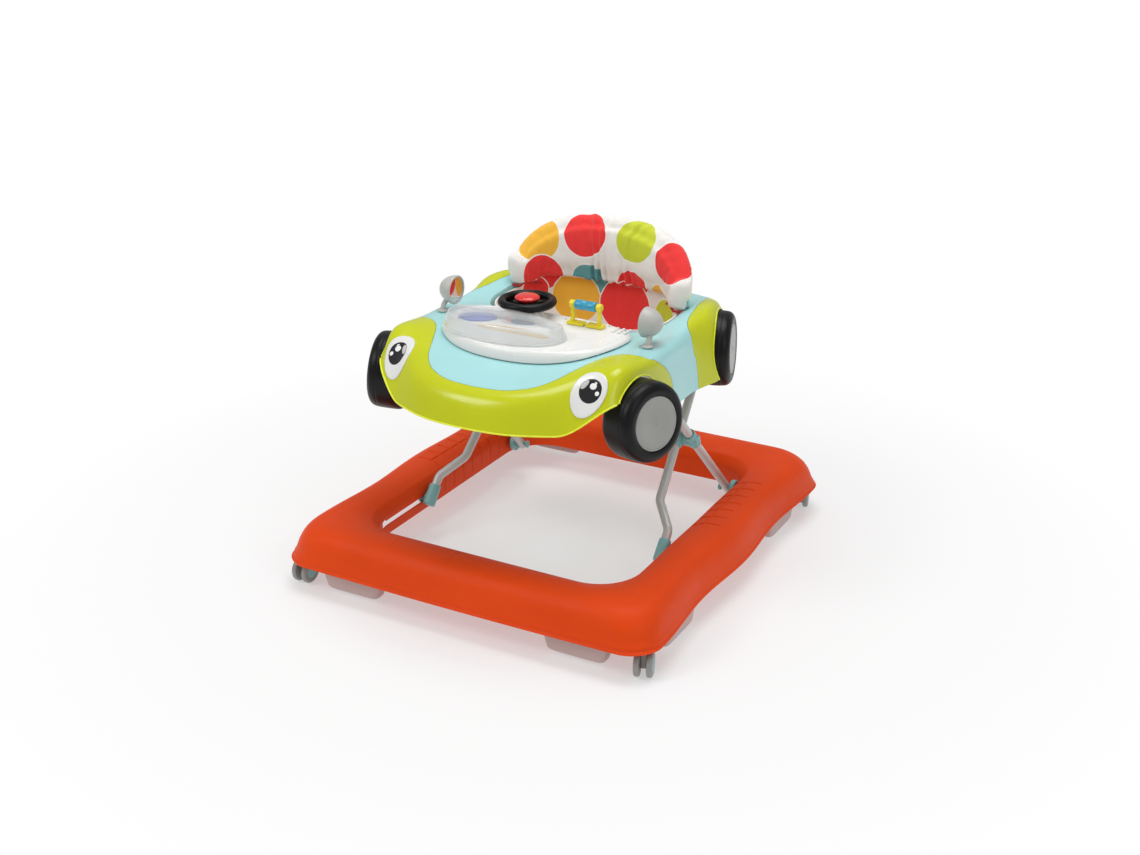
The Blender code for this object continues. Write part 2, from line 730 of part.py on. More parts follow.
def make_bodywork(tray):
    tree = car_surface()
    deck = car_shell("tray_shell")
    deck = cut(deck, bumper_prism(0.0008), fender_prism(1, 0.0008), fender_prism(-1, 0.0008))
    for _, side in SIDES:
        deck = cut(deck, wheel_arch("front", side), wheel_arch("rear", side))
    part("tray_shell", deck, "aqua", tray)

    bumper = overlap(car_shell("bumper"), bumper_prism())
    for _, side in SIDES:
        bumper = cut(bumper, wheel_arch("front", side))
        bumper = join(bumper, wheel_bracket(tree, "front", side))
    part("front_bumper", bumper, "lime", tray)

    for name, side in SIDES:
        fender = overlap(car_shell("fender"), fender_prism(side))
        fender = cut(fender, wheel_arch("rear", side))
        fender = join(fender, wheel_bracket(tree, "rear", side))
        part("rear_fender_" + name, fender, "lime", tray)


def make_eyes(tray):
    """Thin oval inlays that follow the bumper's surface."""
    for name, side in SIDES:
        bm, _ = skin(car_rings(), split=True)
        bm.normal_update()
        for vert in bm.verts:
            vert.co += vert.normal * 0.0007
        surface = thickened(tool("surface", bm), 0.0017, 1)
        frame = facing(mirrored(EYE, side), mirrored(EYE_NORMAL, side))
        eye = overlap(surface, plate("oval", oval(0.0265, 0.034, 2.1, 28), 0.07, frame))
        part("eye_" + name, eye, "white", tray)


def make_toy_wheels(tray):
    for end_name, _ in ENDS:
        for name, side in SIDES:
            centre, axle = wheel_placement(end_name, side)
            label = f"{end_name}_{name}"
            spin = pivot("toy_axle_" + label, centre, tray)
            frame = facing(centre, axle)
            width, radius = TOY_WIDTHS[end_name], TOY_RADIUS
            tyre = turned("tyre", ((0.0415, 0.0), (0.050, 0.0002), (0.0565, -0.0035),
                                   (radius, -0.011), (radius, 0.007 - width),
                                   (0.0560, -width), (0.0530, 0.0005 - width),
                                   (0.0570, 0.0095 - width), (0.0570, -0.0120),
                                   (0.0540, -0.0060), (0.0490, -0.0030), (0.0415, -0.0030)),
                          frame, 18, closed=True)
            part("toy_tyre_" + label, tyre, "black", spin)
            cap = turned("cap", ((0, -0.0005), (0.036, 0.0), (0.0405, -0.0014), (0.0405, -0.0035),
                                 (0.0455, -0.0035), (0.0450, -0.0060), (0.0041, -0.0060),
                                 (0.0041, -width - 0.0095), (0, -width - 0.0095)), frame, 18)
            part("toy_hub_" + label, cap, "grey", spin)


# ---------------------------------------------------------------- tray fittings

def console_outline(scale=1.0):
    """The console's plan: a bowed front half and a squarer rear half."""
    centre = Vector((0.0, -0.085))
    outline = []
    steps = 32
    for i in range(steps):
        angle = 2 * math.pi * i / steps
        c, s = math.cos(angle), math.sin(angle)
        power, reach = (2.3, 0.1235) if s < 0 else (3.0, 0.0505)
        x = 0.150 * math.copysign(abs(c) ** (2 / power), c)
        y = -0.0745 + reach * math.copysign(abs(s) ** (2 / power), s)
        outline.append(centre + (Vector((x, y)) - centre) * scale)
    return outline


def make_console(tray):
    """A shallow cover on the deck, with the pedestal that the steering wheel turns on."""
    tree = car_surface()
    base = console_outline()
    under = [surface_height(tree, *point) + 0.0020 for point in base]
    rings = [[(*p, z) for p, z in zip(base, under)],
             [(*p, z + 0.7 * (0.3895 - z)) for p, z in zip(base, under)],
             [(*p, 0.3908) for p in console_outline(0.988)],
             [(*p, CONSOLE_TOP) for p in console_outline(0.965)]]
    console = cup("console", rings, 0.0024)
    console = join(console, rod("pedestal", (STEERING.x, STEERING.y, 0.3910),
                                (STEERING.x, STEERING.y, 0.4080), 0.027, 0.018, sides=20))
    part("console", console, "white", tray)


def make_lens(tray):
    """A clear oval dome over the picture panel."""
    rings = []
    steps = 4
    for i in range(steps + 1):
        angle = math.pi / 2 * min(i / steps, 0.94)
        scale, height = math.cos(angle) ** 0.85, 0.021 * math.sin(angle)
        rings.append([(LENS.x + x * scale, LENS.y + y * scale, LENS.z - 0.003 + height * 1.14)
                      for x, y in oval(0.094, 0.044, 2.1, 24)])
    dome = cup("dome", rings, 0.0018)
    dome = cut(dome, box("under", (-0.2, -0.3, 0.3), (0.2, 0.1, LENS.z + GAP)))
    part("windshield_lens", dome, "clear", tray)


def make_steering(tray):
    turn = pivot("steering_axis", STEERING, tray)
    centre = STEERING
    section = [(0.038 + 0.0065 * math.cos(a), 0.0062 * math.sin(a))
               for a in (-2 * math.pi * i / 8 for i in range(8))]
    wheel = turned("rim", section, Matrix.Translation(centre), 24, closed=True)
    hub = turned("hub", ((0, -0.0070), (0.0138, -0.0070), (0.0138, 0.0015), (0.0160, 0.0020),
                         (0.0185, 0.0), (0.0185, -0.0080), (0.0170, -0.0100), (0, -0.0100)),
                 Matrix.Translation(centre), 20)
    wheel = join(wheel, hub)
    for i in range(3):
        spoke = box("spoke", (0.0160, -0.0050, -0.0040), (0.0360, 0.0050, 0.0010))
        angle = math.pi / 6 + 2 * math.pi * i / 3
        spoke.matrix_world = Matrix.Translation(centre) @ Matrix.Rotation(angle, 4, "Z")
        wheel = join(wheel, spoke)
    part("steering_wheel", wheel, "black", turn)
    press = pivot("horn_axis", centre, turn)
    button = turned("button", ((0, 0.0095), (0.0060, 0.0088), (0.0105, 0.0062), (0.0130, 0.0020),
                               (0.0132, -0.0034), (0, -0.0034)), Matrix.Translation(centre), 20)
    part("horn_button", button, "red", press)


def make_roller_toy(tray):
    bar_z = BRACKET.z + 0.031
    top = Vector((0, 0, bar_z))
    bracket = rod("bar", (BRACKET.x - 0.025, BRACKET.y, bar_z), (BRACKET.x + 0.025, BRACKET.y, bar_z),
                  0.0032, sides=12)
    for way in (-1, 1):
        post = BRACKET.x + way * 0.0220
        foot = BRACKET.x + way * 0.0160
        bracket = join(bracket,
                       rod("knob", (post - 0.0042, BRACKET.y, top.z),
                           (post + 0.0042, BRACKET.y, top.z), 0.0058, sides=14),
                       rod("post", (post, BRACKET.y, BRACKET.z + 0.002), (post, BRACKET.y, top.z),
                           0.0032, sides=12),
                       box("foot", (foot - 0.0135, BRACKET.y - 0.0065, BRACKET.z + GAP),
                           (foot + 0.0135, BRACKET.y + 0.0065, BRACKET.z + 0.0045)))
    part("toy_bracket", bracket, "yellow", tray)
    spin = pivot("roller_axis", (BRACKET.x, BRACKET.y, bar_z), tray)
    frame = facing(Vector((BRACKET.x, BRACKET.y, bar_z)), Vector((1, 0, 0)))
    roller = turned("roller", ((0.0036, 0.0170), (0.0062, 0.0170), (0.0074, 0.0155),
                               (0.0074, 0.0020), (0.0062, 0.0), (0.0074, -0.0020),
                               (0.0074, -0.0155), (0.0062, -0.0170), (0.0036, -0.0170)),
                    frame, 16, closed=True)
    part("toy_roller", roller, "blue", spin)


def make_mirrors(tray):
    tree = car_surface()
    for name, side in SIDES:
        foot = Vector((MIRROR.x * side, MIRROR.y, surface_height(tree, *MIRROR) + 0.0012))
        turn = pivot("mirror_axis_" + name, foot, tray)
        head_at = foot + Vector((-0.0035 * side, 0.018, 0.0302))
        back = head_at + Vector((0.011 * side, 0, 0))
        head = turned("head", ((0, 0.0), (0.0080, -0.0012), (0.0145, -0.0050), (0.0190, -0.0110),
                               (0.0208, -0.0170), (0.0208, -0.0205), (0.0190, -0.0225),
                               (0, -0.0215)), facing(back, Vector((side, 0, 0))), 18)
        stem = tube("stem", [foot, foot + Vector((0, 0.001, 0.006)),
                             foot + Vector((-0.001 * side, 0.008, 0.012)),
                             head_at - Vector((0, 0.003, 0.012))], 0.0038)
        base = rod("base", foot, foot + Vector((0, 0, 0.003)), 0.0085, 0.0065)
        part("mirror_" + name, join(head, stem, base), "grey", turn)


def make_tray_guides(tray):
    """Clips hold the front frame's bar, and slotted tracks guide the rear frame's bar."""
    for name, side in SIDES:
        low_x, high_x = sorted((0.086 * side, 0.104 * side))
        clip = box("clip", (low_x, FRONT_BAR.y - 0.0100, FRONT_BAR.z - 0.0100),
                   (high_x, FRONT_BAR.y + 0.0110, DECK - WALL - 3 * GAP))
        clip = cut(clip, rod("bore", (low_x - 0.01, FRONT_BAR.y, FRONT_BAR.z),
                             (high_x + 0.01, FRONT_BAR.y, FRONT_BAR.z), TUBE_RADIUS + 2 * GAP,
                             sides=16))
        part("tray_hinge_clip_" + name, clip, "teal", tray)
        low_x, high_x = sorted((0.094 * side, 0.101 * side))
        front, back = -0.1505, -0.0440
        track = box("track", (low_x, front, REAR_BAR.z - 0.0125), (high_x, back, TRACK_TOP))
        track = cut(track, box("slot", (low_x - 0.01, -0.1478, REAR_BAR.z - 0.0075),
                               (high_x + 0.01, -0.0515, REAR_BAR.z + 0.0075)))
        part("tray_track_" + name, track, "teal", tray)


# ---------------------------------------------------------------- seat

ARCH_CENTRE_Y = 0.088
ARCH_SPREAD = math.radians(80)
ARCH_STEPS = 22


def arch_point(angle, inset=0.0):
    """A point of the seat back's plan, an arc round the rear of the opening."""
    sine, cosine = math.sin(angle), math.cos(angle)
    return Vector(((0.1555 - inset) * math.copysign(abs(sine) ** 0.85, sine),
                   ARCH_CENTRE_Y + (0.0765 - inset) * cosine ** 0.85))


def arch_top(angle):
    return 0.384 + 0.114 * math.cos(angle) ** 0.6


def arch_angles():
    return [ARCH_SPREAD * (2 * i / ARCH_STEPS - 1) for i in range(ARCH_STEPS + 1)]


def deck_under(tree, angle, insets):
    """The highest point of the deck under a cross-section of the seat back."""
    return max(surface_height(tree, *arch_point(angle, inset)) for inset in insets)


def make_seat_frame(tray):
    """A curved plastic board that stands on the deck behind the padded back."""
    tree = car_surface()
    bottoms = [deck_under(tree, a, (0.0, -0.003)) + 0.0008 for a in arch_angles()]
    rings = []
    for share in (0.0, 0.5, 1.0):
        rings.append([(*arch_point(a), z + share * (arch_top(a) - z))
                      for a, z in zip(arch_angles(), bottoms)])
    bm, _ = skin(rings, cyclic=False)
    board = thickened(tool("seat_frame", bm), 0.003, 1)
    part("seat_frame", board, "aqua", tray)


def make_seat_back(tray):
    """The padded roll that lines the board."""
    section = ((0.0008, 0.0), (0.0008, 0.45), (0.0010, 0.93), (0.0060, 1.02), (0.0150, 1.02),
               (0.0220, 0.90), (0.0265, 0.55), (0.0270, 0.25), (0.0210, 0.03), (0.0120, 0.0))
    tree = car_surface()
    rings = []
    for angle in arch_angles():
        bottom = deck_under(tree, angle, [inset for inset, _ in section]) + 0.0012
        height = arch_top(angle) - bottom
        rings.append([(*arch_point(angle, inset), bottom + share * height)
                      for inset, share in section])
    part("seat_back", solid_loft("seat_back", rings), "fabric", tray)


def make_sling(tray):
    """The hanging cloth seat, with a hole for each leg."""
    levels = ((0.975, 0.3805), (0.965, 0.355), (0.93, 0.325), (0.86, 0.290), (0.74, 0.258),
              (0.56, 0.234), (0.30, 0.220))
    loop = smooth_loop(mirrored_loop(OPENING_HALF), 1)
    rings = [[(*(OPENING_CENTRE + (p - OPENING_CENTRE) * scale), z) for p in loop]
             for scale, z in levels]
    sling = cup("sling", rings, 0.003)
    for _, side in SIDES:
        start = Vector((0.045 * side, 0.075, 0.285))
        end = Vector((0.110 * side, -0.060, 0.205))
        sling = cut(sling, rod("leg_hole", start, end, 0.046, sides=16))
    part("seat_sling", sling, "fabric", tray)


# ---------------------------------------------------------------- assembly

def build():
    make_base_ring()
    make_brake_pads()
    make_casters()
    fold = pivot("fold_axis", (0, REAR_PIVOT.y, REAR_PIVOT.z))
    cross = pivot("crossing_axis", CROSSING, fold)
    tray = pivot("tray_axis", FRONT_BAR, cross)
    make_rear_legs(fold)
    make_front_legs(cross)
    make_crossing_hubs(fold, cross)
    make_bodywork(tray)
    make_eyes(tray)
    make_toy_wheels(tray)
    make_console(tray)
    make_lens(tray)
    make_steering(tray)
    make_roller_toy(tray)
    make_mirrors(tray)
    make_tray_guides(tray)
    make_seat_frame(tray)
    make_seat_back(tray)
    make_sling(tray)


clear_scene()
PARTS = make_collection("baby_walker")
CUTTERS = make_collection("cutters")
build()
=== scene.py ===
"""Looks for the baby walker with a toy-car tray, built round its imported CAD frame."""
import json
import math

import bmesh
import bpy
from mathutils import Matrix, Vector, noise
from mathutils.bvhtree import BVHTree


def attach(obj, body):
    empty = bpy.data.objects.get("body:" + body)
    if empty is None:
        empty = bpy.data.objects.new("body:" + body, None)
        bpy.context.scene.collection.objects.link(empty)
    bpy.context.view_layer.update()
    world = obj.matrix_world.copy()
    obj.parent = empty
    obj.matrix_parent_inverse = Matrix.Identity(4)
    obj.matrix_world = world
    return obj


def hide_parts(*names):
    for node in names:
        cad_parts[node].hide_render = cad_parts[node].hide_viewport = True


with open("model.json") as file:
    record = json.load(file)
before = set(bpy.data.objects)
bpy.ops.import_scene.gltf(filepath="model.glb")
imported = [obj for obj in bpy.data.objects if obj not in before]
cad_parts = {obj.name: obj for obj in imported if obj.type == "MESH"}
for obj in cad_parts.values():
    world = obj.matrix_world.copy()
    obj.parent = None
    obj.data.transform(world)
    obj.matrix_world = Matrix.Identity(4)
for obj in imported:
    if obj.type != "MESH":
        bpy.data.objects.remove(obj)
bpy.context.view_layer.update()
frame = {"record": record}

SIDES = (("left", 1), ("right", -1))
ENDS = (("front", -1), ("rear", 1))
CORNERS = [(end_name, end, side_name, side) for end_name, end in ENDS
           for side_name, side in SIDES]
UP = Vector((0, 0, 1))
SIDE_ON = Matrix(((0, 0, 1, 0), (1, 0, 0, 0), (0, 1, 0, 0), (0, 0, 0, 1)))
NODE_BODY = {node: body for body, nodes in frame["record"]["behaviour"]["bodies"].items()
             for node in nodes}


# ---- materials

class Shader:
    """A material under construction: one Principled shader and the nodes that drive it."""

    def __init__(self, name, roughness, **sockets):
        self.material = bpy.data.materials.new(name)
        self.material.use_nodes = True
        self.tree = self.material.node_tree
        self.bsdf = self.tree.nodes["Principled BSDF"]
        self.set(Roughness=roughness, **sockets)
        self.place = self.node("ShaderNodeTexCoord").outputs["Object"]

    def set(self, **sockets):
        for socket, value in sockets.items():
            self.bsdf.inputs[socket.replace("_", " ")].default_value = value

    def node(self, kind, **settings):
        made = self.tree.nodes.new(kind)
        for key, value in settings.items():
            setattr(made, key, value)
        return made

    def feed(self, socket, value):
        if isinstance(value, bpy.types.NodeSocket):
            self.tree.links.new(value, socket)
        else:
            socket.default_value = value

    def math(self, operation, a, b):
        made = self.node("ShaderNodeMath", operation=operation)
        self.feed(made.inputs[0], a)
        self.feed(made.inputs[1], b)
        return made.outputs[0]

    def texture(self, made, **sockets):
        for socket, value in sockets.items():
            made.inputs[socket].default_value = value
        self.feed(made.inputs["Vector"], self.place)
        return made.outputs["Fac"]

    def noise(self, scale, detail):
        return self.texture(self.node("ShaderNodeTexNoise"), Scale=scale, Detail=detail)

    def threads(self, direction):
        """Fine parallel threads of the weave, about 0.6 mm apart."""
        wave = self.node("ShaderNodeTexWave", wave_type="BANDS", bands_direction=direction)
        return self.texture(wave, Scale=260.0, Distortion=0.6, Detail=1.0)

    def between(self, value, low, high, start, end):
        """The value from low to high turned into one from start to end."""
        made = self.node("ShaderNodeMapRange")
        for socket, number in zip(made.inputs[1:5], (low, high, start, end)):
            socket.default_value = number
        self.feed(made.inputs[0], value)
        return made.outputs[0]

    def patchy(self, scale, detail, start=0.0, end=1.0):
        """Noise spread over the range from start to end."""
        return self.between(self.noise(scale, detail), 0.3, 0.7, start, end)

    def mix(self, share, a, b):
        made = self.node("ShaderNodeMix", data_type="RGBA")
        self.feed(made.inputs[0], share)
        for socket, value in ((made.inputs[6], a), (made.inputs[7], b)):
            self.feed(socket, value if isinstance(value, bpy.types.NodeSocket) else (*value, 1))
        return made.outputs[2]

    def colour(self, value):
        self.feed(self.bsdf.inputs["Base Color"], value)

    def rough(self, value):
        self.feed(self.bsdf.inputs["Roughness"], value)

    def bump(self, height, distance, strength):
        made = self.node("ShaderNodeBump")
        made.inputs["Strength"].default_value = strength
        made.inputs["Distance"].default_value = distance
        self.feed(made.inputs["Height"], height)
        previous = self.bsdf.inputs["Normal"]
        if previous.is_linked:
            self.feed(made.inputs["Normal"], previous.links[0].from_socket)
        self.feed(previous, made.outputs[0])


def shade(colour, by):
    return tuple(min(1.0, c * by) for c in colour)


def patched(made, flow, colours, gloss, *bumps):
    """Colour and gloss that vary in patches, over fine noise bumps."""
    made.colour(made.mix(made.patchy(*flow), *colours))
    made.rough(made.patchy(*gloss))
    for scale, detail, distance, strength in bumps:
        made.bump(made.noise(scale, detail), distance, strength)
    return made.material


def plastic(name, colour, roughness, grain=0.00003, coat=0.0, spread=0.06, **sockets):
    """Moulded plastic: slight flow marks in its colour and gloss, and a fine moulded grain."""
    made = Shader(name, roughness, **sockets)
    if coat:
        made.set(Coat_Weight=coat, Coat_Roughness=0.08)
    bumps = [(1700.0, 1.0, grain, 0.8)] if grain else []
    return patched(made, (9.0, 3.0), (shade(colour, 1 - spread), shade(colour, 1 + spread)),
                   (38.0, 4.0, roughness - 0.04, roughness + 0.05), *bumps,
                   (11.0, 0.0, 0.0002, 0.3))


def painted_tube(name):
    """Powder-coated steel: fine pale flecks and a slight orange peel."""
    made = Shader(name, 0.33, Metallic=0.15)
    fleck = made.between(made.noise(2600.0, 1.0), 0.35, 0.65, 0, 1)
    made.colour(made.mix(fleck, (0.50, 0.495, 0.48), (0.64, 0.635, 0.62)))
    made.rough(made.patchy(55.0, 3.0, 0.28, 0.40))
    made.bump(made.noise(900.0, 2.0), 0.00004, 0.7)
    return made.material


def hub_plastic(name):
    """Silver-grey plastic with a fine metallic grain."""
    return patched(Shader(name, 0.36, Metallic=0.25), (30.0, 3.0),
                   ((0.30, 0.30, 0.285), (0.35, 0.35, 0.335)), (60.0, 3.0, 0.32, 0.42),
                   (1500.0, 2.0, 0.00003, 0.8))


def clear_plastic(name, alpha):
    """The dome: see-through, a little milky, with fine scuffs."""
    made = Shader(name, 0.10, Alpha=alpha, IOR=1.45, Coat_Weight=0.6, Coat_Roughness=0.05)
    return patched(made, (22.0, 2.0), ((0.82, 0.85, 0.85), (0.90, 0.92, 0.92)),
                   (140.0, 3.0, 0.07, 0.14), (30.0, 1.0, 0.0002, 0.4))


def mirror_face(name):
    made = Shader(name, 0.06, Metallic=1.0)
    made.colour((0.82, 0.78, 0.78, 1))
    return made.material


CREAM = (0.96, 0.94, 0.91)
GROUND = (0.92, 0.885, 0.84)
RED = (0.92, 0.020, 0.018)
AMBER = (0.96, 0.50, 0.025)
LIME_DOT = (0.62, 0.69, 0.016)
TEAL_DOT = (0.105, 0.37, 0.40)
# Printed dots on the seat: centre, radius and colour
DOTS = [((-0.1180, 0.1190, 0.4600), 0.037, AMBER), ((-0.0400, 0.1395, 0.4720), 0.036, RED),
        ((0.0500, 0.1385, 0.4730), 0.034, LIME_DOT), ((0.1230, 0.1130, 0.4560), 0.035, RED),
        ((-0.1080, 0.1180, 0.4020), 0.033, RED), ((-0.0330, 0.1390, 0.3980), 0.029, TEAL_DOT),
        ((0.0450, 0.1370, 0.4020), 0.025, RED), ((0.0960, 0.1250, 0.3980), 0.014, AMBER),
        ((-0.0610, 0.1480, 0.3620), 0.041, AMBER), ((0.0260, 0.1510, 0.3600), 0.045, RED),
        ((-0.1260, 0.1230, 0.3720), 0.022, RED), ((0.1010, 0.1330, 0.3650), 0.020, LIME_DOT),
        ((0.1400, 0.0650, 0.3300), 0.034, TEAL_DOT), ((-0.1400, 0.0500, 0.3250), 0.034, LIME_DOT),
        ((0.1050, -0.0100, 0.3500), 0.030, AMBER), ((-0.1000, -0.0120, 0.3520), 0.030, TEAL_DOT),
        ((0.0050, -0.0200, 0.3400), 0.034, RED), ((-0.0150, 0.1380, 0.2820), 0.034, LIME_DOT),
        ((0.0800, 0.1250, 0.2860), 0.030, TEAL_DOT), ((-0.0950, 0.1200, 0.2850), 0.031, RED),
        ((0.0000, 0.0700, 0.2200), 0.036, AMBER), ((0.0050, 0.0050, 0.2480), 0.026, TEAL_DOT),
        ((-0.0850, 0.1740, 0.4550), 0.030, RED), ((0.0000, 0.1860, 0.4600), 0.031, TEAL_DOT),
        ((0.0850, 0.1740, 0.4500), 0.030, LIME_DOT), ((-0.1420, 0.1520, 0.4340), 0.024, AMBER),
        ((0.1430, 0.1510, 0.4320), 0.024, RED)]


def cotton(name):
    """White printed cotton: dots with pale outlines, a plain weave and small creases."""
    made = Shader(name, 0.88, Sheen_Weight=0.25, Sheen_Roughness=0.5)
    wobble = made.patchy(55.0, 1.0, -0.0005, 0.0005)
    layers = made.mix(made.patchy(22.0, 3.0), shade(GROUND, 0.95), shade(GROUND, 1.05))
    for centre, radius, colour in DOTS:
        away = made.node("ShaderNodeVectorMath", operation="DISTANCE")
        made.feed(away.inputs[0], made.place)
        away.inputs[1].default_value = centre
        distance = made.math("ADD", away.outputs["Value"], wobble)
        ring = made.between(distance, radius + 0.0022, radius + 0.0018, 0, 1)
        inside = made.between(distance, radius + 0.0002, radius - 0.0002, 0, 1)
        layers = made.mix(ring, layers, CREAM)
        layers = made.mix(inside, layers, colour)
    thread = made.noise(900.0, 2.0)
    made.colour(made.mix(made.between(thread, 0.2, 0.8, 0.10, 0.0), layers, (0.30, 0.28, 0.27)))
    made.rough(made.between(thread, 0.3, 0.7, 0.82, 0.95))
    made.bump(made.math("MULTIPLY", made.threads("Z"), made.threads("DIAGONAL")), 0.00018, 0.7)
    made.bump(made.noise(120.0, 3.0), 0.0006, 0.5)
    return made.material


def binding(name, colour):
    """Bias binding and piping: one-colour cotton with a close twill."""
    made = Shader(name, 0.85, Sheen_Weight=0.2)
    made.bump(made.threads("DIAGONAL"), 0.00015, 0.8)
    return patched(made, (700.0, 2.0), (shade(colour, 0.82), shade(colour, 1.1)),
                   (300.0, 2.0, 0.80, 0.92))


MATERIALS = {
    "ring": plastic("ring_orange", (0.78, 0.062, 0.003), 0.48, 0.00006, spread=0.05,
                    Specular_IOR_Level=0.16),
    "pad": plastic("pad_pink", (0.55, 0.40, 0.38), 0.45, 0.00005),
    "caster_grey": plastic("caster_grey", (0.29, 0.285, 0.27), 0.34),
    "tube": painted_tube("tube_silver"),
    "joint_teal": plastic("joint_teal", (0.215, 0.47, 0.475), 0.38, 0.00004),
    "aqua": plastic("body_aqua", (0.40, 0.73, 0.74), 0.20, 0.0, spread=0.025),
    "lime": plastic("body_lime", (0.57, 0.62, 0.002), 0.22, 0.0, spread=0.035),
    # A lighter copy of the body lime for the edge beads: a painted highlight.
    "lime_lip_painted_highlight": plastic("lime_lip_painted_highlight", (0.82, 0.88, 0.020), 0.30, 0.00001, coat=0.2, spread=0.02),
    "eye_white": plastic("eye_white", (0.80, 0.80, 0.78), 0.22, 0.00001, coat=0.3, spread=0.02),
    "toy_black": plastic("toy_black", (0.003, 0.0033, 0.0042), 0.36, 0.00005, spread=0.2,
                         Specular_IOR_Level=0.24),
    "hub_grey": hub_plastic("hub_grey"),
    "pod_grey": plastic("pod_grey", (0.50, 0.50, 0.47), 0.36),
    "white": plastic("console_white", (0.86, 0.86, 0.84), 0.24, 0.0, spread=0.02),
    "clear": clear_plastic("dome_milky", 0.42),
    "clear_window": clear_plastic("dome_window", 0.17),
    "red": plastic("button_red", (0.74, 0.022, 0.018), 0.24, 0.00001, coat=0.3),
    "yellow": plastic("bracket_yellow", (0.88, 0.72, 0.010), 0.28, 0.00002, coat=0.2),
    "blue": plastic("roller_blue", (0.040, 0.36, 0.55), 0.26, 0.00002, coat=0.2),
    "cloth": cotton("seat_cotton"),
    "red_binding": binding("red_binding", (0.50, 0.014, 0.016)),
    "pupil": plastic("pupil_black", (0.006, 0.006, 0.008), 0.14, 0.00001, coat=0.4),
    "glint": plastic("glint_white", (0.88, 0.88, 0.87), 0.20, 0.00001),
    "glint_grey": plastic("glint_grey", (0.55, 0.53, 0.52), 0.20, 0.00001),
    "gauge_blue": plastic("gauge_blue", (0.10, 0.15, 0.50), 0.40, 0.00002),
    "gauge_slate": plastic("gauge_slate", (0.10, 0.17, 0.30), 0.40, 0.00002),
    "gauge_pink": plastic("gauge_pink", (0.78, 0.25, 0.30), 0.40, 0.00002),
    "gauge_amber": plastic("gauge_amber", (0.85, 0.48, 0.06), 0.40, 0.00002),
    "mirror": mirror_face("mirror_face"),
}


# ---- object helpers

def make(name, data, matrix=None):
    obj = bpy.data.objects.new(name, data)
    bpy.context.scene.collection.objects.link(obj)
    if matrix is not None:
        obj.matrix_world = matrix
    return obj


def tool(name, bm, matrix=None):
    mesh = bpy.data.meshes.new(name)
    bmesh.ops.recalc_face_normals(bm, faces=bm.faces)
    bm.to_mesh(mesh)
    bm.free()
    return make(name, mesh, matrix)


def bake(obj):
    """Replace the object's data by its evaluated mesh in world space."""
    bpy.context.view_layer.update()
    graph = bpy.context.evaluated_depsgraph_get()
    mesh = bpy.data.meshes.new_from_object(obj.evaluated_get(graph))
    mesh.transform(obj.matrix_world)
    name = obj.name
    bpy.data.objects.remove(obj, do_unlink=True)
    return make(name, mesh)


def weld(obj):
    bm = bmesh.new()
    bm.from_mesh(obj.data)
    bmesh.ops.remove_doubles(bm, verts=bm.verts, dist=1e-6)
    bmesh.ops.recalc_face_normals(bm, faces=bm.faces)
    bm.to_mesh(obj.data)
    bm.free()
    return obj


def combine(obj, others, operation):
    for other in others:
        modifier = obj.modifiers.new(operation, "BOOLEAN")
        modifier.operation = operation
        modifier.solver = "EXACT"
        modifier.use_self = obj.name.startswith(("car", "console"))
        modifier.object = other
        obj = bake(obj)
        obj.name = operation
        bpy.data.objects.remove(other, do_unlink=True)
    return obj


def cut(obj, *others):
    return combine(obj, others, "DIFFERENCE")


def join(obj, *others):
    return combine(obj, others, "UNION")


def overlap(obj, other):
    return combine(obj, [other], "INTERSECT")


def piece(name, obj, material, node=None, body=None, bevel=0.0, sharp=38):
    """Finish a shown piece: round its edges, give its material, and set it on its CAD body."""
    obj = bake(obj)
    if bevel:
        edge = obj.modifiers.new("edge", "BEVEL")
        edge.width = bevel
        edge.segments = 2
        edge.limit_method = "ANGLE"
        edge.angle_limit = math.radians(40)
        obj = bake(obj)
    obj.name = obj.data.name = name
    obj.data.materials.clear()
    obj.data.materials.append(MATERIALS[material])
    obj.data.shade_smooth()
    obj.data.set_sharp_from_angle(angle=math.radians(sharp))
    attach(obj, body or NODE_BODY[node])
    if node:
        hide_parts(node)
    return obj


def mirrored(point, side):
    return Vector((point.x * side, point.y, point.z))


def facing(centre, normal):
    """Placement whose +Z is the normal and whose +Y is the nearest to up."""
    z = normal.normalized()
    y = (UP - z * UP.dot(z)).normalized()
    x = y.cross(z)
    matrix = Matrix((x, y, z)).transposed().to_4x4()
    matrix.translation = centre
    return matrix


# ---- shape helpers

def box(name, low, high):
    bm = bmesh.new()
    bmesh.ops.create_cube(bm, size=1)
    low, high = Vector(low), Vector(high)
    for vert in bm.verts:
        vert.co = Vector((low[i] + (high[i] - low[i]) * (vert.co[i] + 0.5) for i in range(3)))
    return tool(name, bm)


def rod(name, start, end, radius, sides=40):
    start, end = Vector(start), Vector(end)
    along = end - start
    bm = bmesh.new()
    bmesh.ops.create_cone(bm, cap_ends=True, segments=sides, depth=along.length,
                          radius1=radius, radius2=radius)
    turn = UP.rotation_difference(along).to_matrix().to_4x4()
    return bake(tool(name, bm, Matrix.Translation((start + end) / 2) @ turn))


def plate(name, outline, thickness, matrix):
    curve = bpy.data.curves.new(name, "CURVE")
    curve.dimensions = "2D"
    curve.fill_mode = "BOTH"
    curve.extrude = thickness / 2
    spline = curve.splines.new("POLY")
    spline.points.add(len(outline) - 1)
    for point, (x, y) in zip(spline.points, outline):
        point.co = (x, y, 0, 1)
    spline.use_cyclic_u = True
    return weld(bake(make(name, curve, matrix)))


